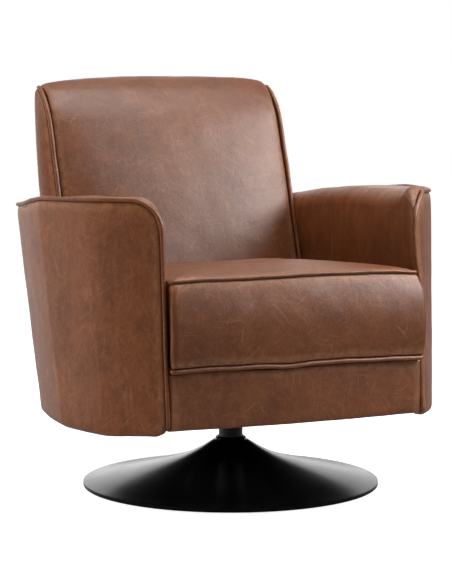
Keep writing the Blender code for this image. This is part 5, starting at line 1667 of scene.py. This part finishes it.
def make_floor():
    """White floor that keeps the shadow."""
    material, tree, shader, place = new_material("studio_floor")
    shader.inputs["Base Color"].default_value = FLOOR_PAINT
    shader.inputs["Roughness"].default_value = 0.9
    shader.inputs["Specular IOR Level"].default_value = 0.0
    seen = add(tree, "LightPath").outputs
    glow = times(tree, seen["Is Camera Ray"], FLOOR_GLOW)
    shine = add(tree, "Emission", Color=WHITE, Strength=glow)
    both = add(tree, "AddShader", _0=shader.outputs[0], _1=shine.outputs[0])
    spot = add(tree, "SeparateXYZ", Vector=place).outputs
    level = ramp(tree, spot["Y"], -1.0, 1.5, FLOOR_FRONT_GLOSS, FLOOR_REAR_GLOSS)
    level = times(tree, level, ramp(tree, spot["X"], 0.5, 3.0, 1.0, WALL_RIGHT_GLOSS))
    mirrored = add(tree, "Emission", Color=WHITE, Strength=level)
    chosen = add(tree, "MixShader", Fac=seen["Is Glossy Ray"], _1=both.outputs[0], _2=mirrored.outputs[0])
    tree.links.new(chosen.outputs[0], tree.nodes["Material Output"].inputs["Surface"])
    return material


floor_mesh = bpy.data.meshes.new("studio_floor")
around = ((-1, -1), (1, -1), (1, 1), (-1, 1))
corners = [(x * FLOOR_HALF, y * FLOOR_HALF, FLOOR_DOWN) for x, y in around]
floor_mesh.from_pydata(corners, [], [(0, 1, 2, 3)])
floor_mesh.materials.append(make_floor())
floor = bpy.data.objects.new("studio_floor", floor_mesh)
bpy.context.scene.collection.objects.link(floor)
print("the floor is", 2 * FLOOR_HALF, "m wide")

# %% [markdown]
# ## The lamps
# A soft key lamp stands at the front right, a larger one at the left, and the largest hangs overhead. The
# left one is kept out of reflections, and a sheen card at the right is seen only in them: it draws the pale
# sheen on the leather without lighting it. The lamps and the world light the object at a plain level, at
# which a colour renders about as it is written.
# %% Set the lamps
def lamp(name, place, target, size, power):
    """A square soft lamp that looks at a point."""
    data = bpy.data.lights.new(name, "AREA")
    data.shape = "SQUARE"
    data.size = size
    data.energy = power
    thing = bpy.data.objects.new(name, data)
    thing.location = place
    aim = Vector(target) - Vector(place)
    thing.rotation_euler = aim.to_track_quat("-Z", "Y").to_euler()
    bpy.context.scene.collection.objects.link(thing)
    return thing


lamp("key_lamp", (1.25, -1.10, 1.35), (0, 0, 0.5), 1.0, 35)
left = lamp("left_lamp", (-2.3, 0.35, 0.80), (-0.2, 0, 0.4), 1.3, 44)
left.visible_glossy = False
lamp("top_lamp", (0.2, -0.2, 2.9), (0, 0, 0.4), 1.6, 84)
sheen = lamp("sheen_card", (2.15, -1.05, 1.95), (0.1, 0.2, 0.6), 1.3, 100)
sheen.visible_diffuse = False

# %% [markdown]
# ## The walls
# Wherever the camera looks past the floor it sees plain white. The same walls light the chair evenly and
# faintly, and in reflections they are dark behind the camera and bright behind the chair, so that the dark
# enamel gets a clear edge. Real walls could stand round the chair, but they would shade the lamps.
# %% Let the walls shine
WALL_DIFFUSE = 0.22
WALL_FRONT_GLOSS = 0.03
WALL_REAR_GLOSS = 1.85
WALL_HIGH_GLOSS = 0.42
world = bpy.data.worlds.new("studio_walls")
world.use_nodes = True
tree = world.node_tree
background = tree.nodes["Background"]
seen = add(tree, "LightPath").outputs
way = add(tree, "TexCoord").outputs["Generated"]
toward = add(tree, "SeparateXYZ", Vector=way).outputs
mirrored = ramp(tree, toward["Y"], -0.15, 0.45, WALL_FRONT_GLOSS, WALL_REAR_GLOSS)
mirrored = times(tree, mirrored, ramp(tree, toward["X"], 0.35, 0.90, 1.0, WALL_RIGHT_GLOSS))
mirrored = times(tree, mirrored, ramp(tree, toward["Z"], 0.15, 0.55, 1.0, WALL_HIGH_GLOSS))
plain = math_node(tree, "MAXIMUM", seen["Is Camera Ray"], seen["Is Transmission Ray"])
level = add(tree, "Mix", Factor=seen["Is Glossy Ray"], A=WALL_DIFFUSE, B=mirrored).outputs["Result"]
level = add(tree, "Mix", Factor=plain, A=level, B=1.0).outputs["Result"]
tree.links.new(level, background.inputs["Strength"])
background.inputs["Color"].default_value = WHITE
bpy.context.scene.world = world
bpy.context.scene.view_settings.view_transform = "Standard"
print("the walls give", WALL_DIFFUSE, "to the leather and up to", WALL_REAR_GLOSS, "to reflections")
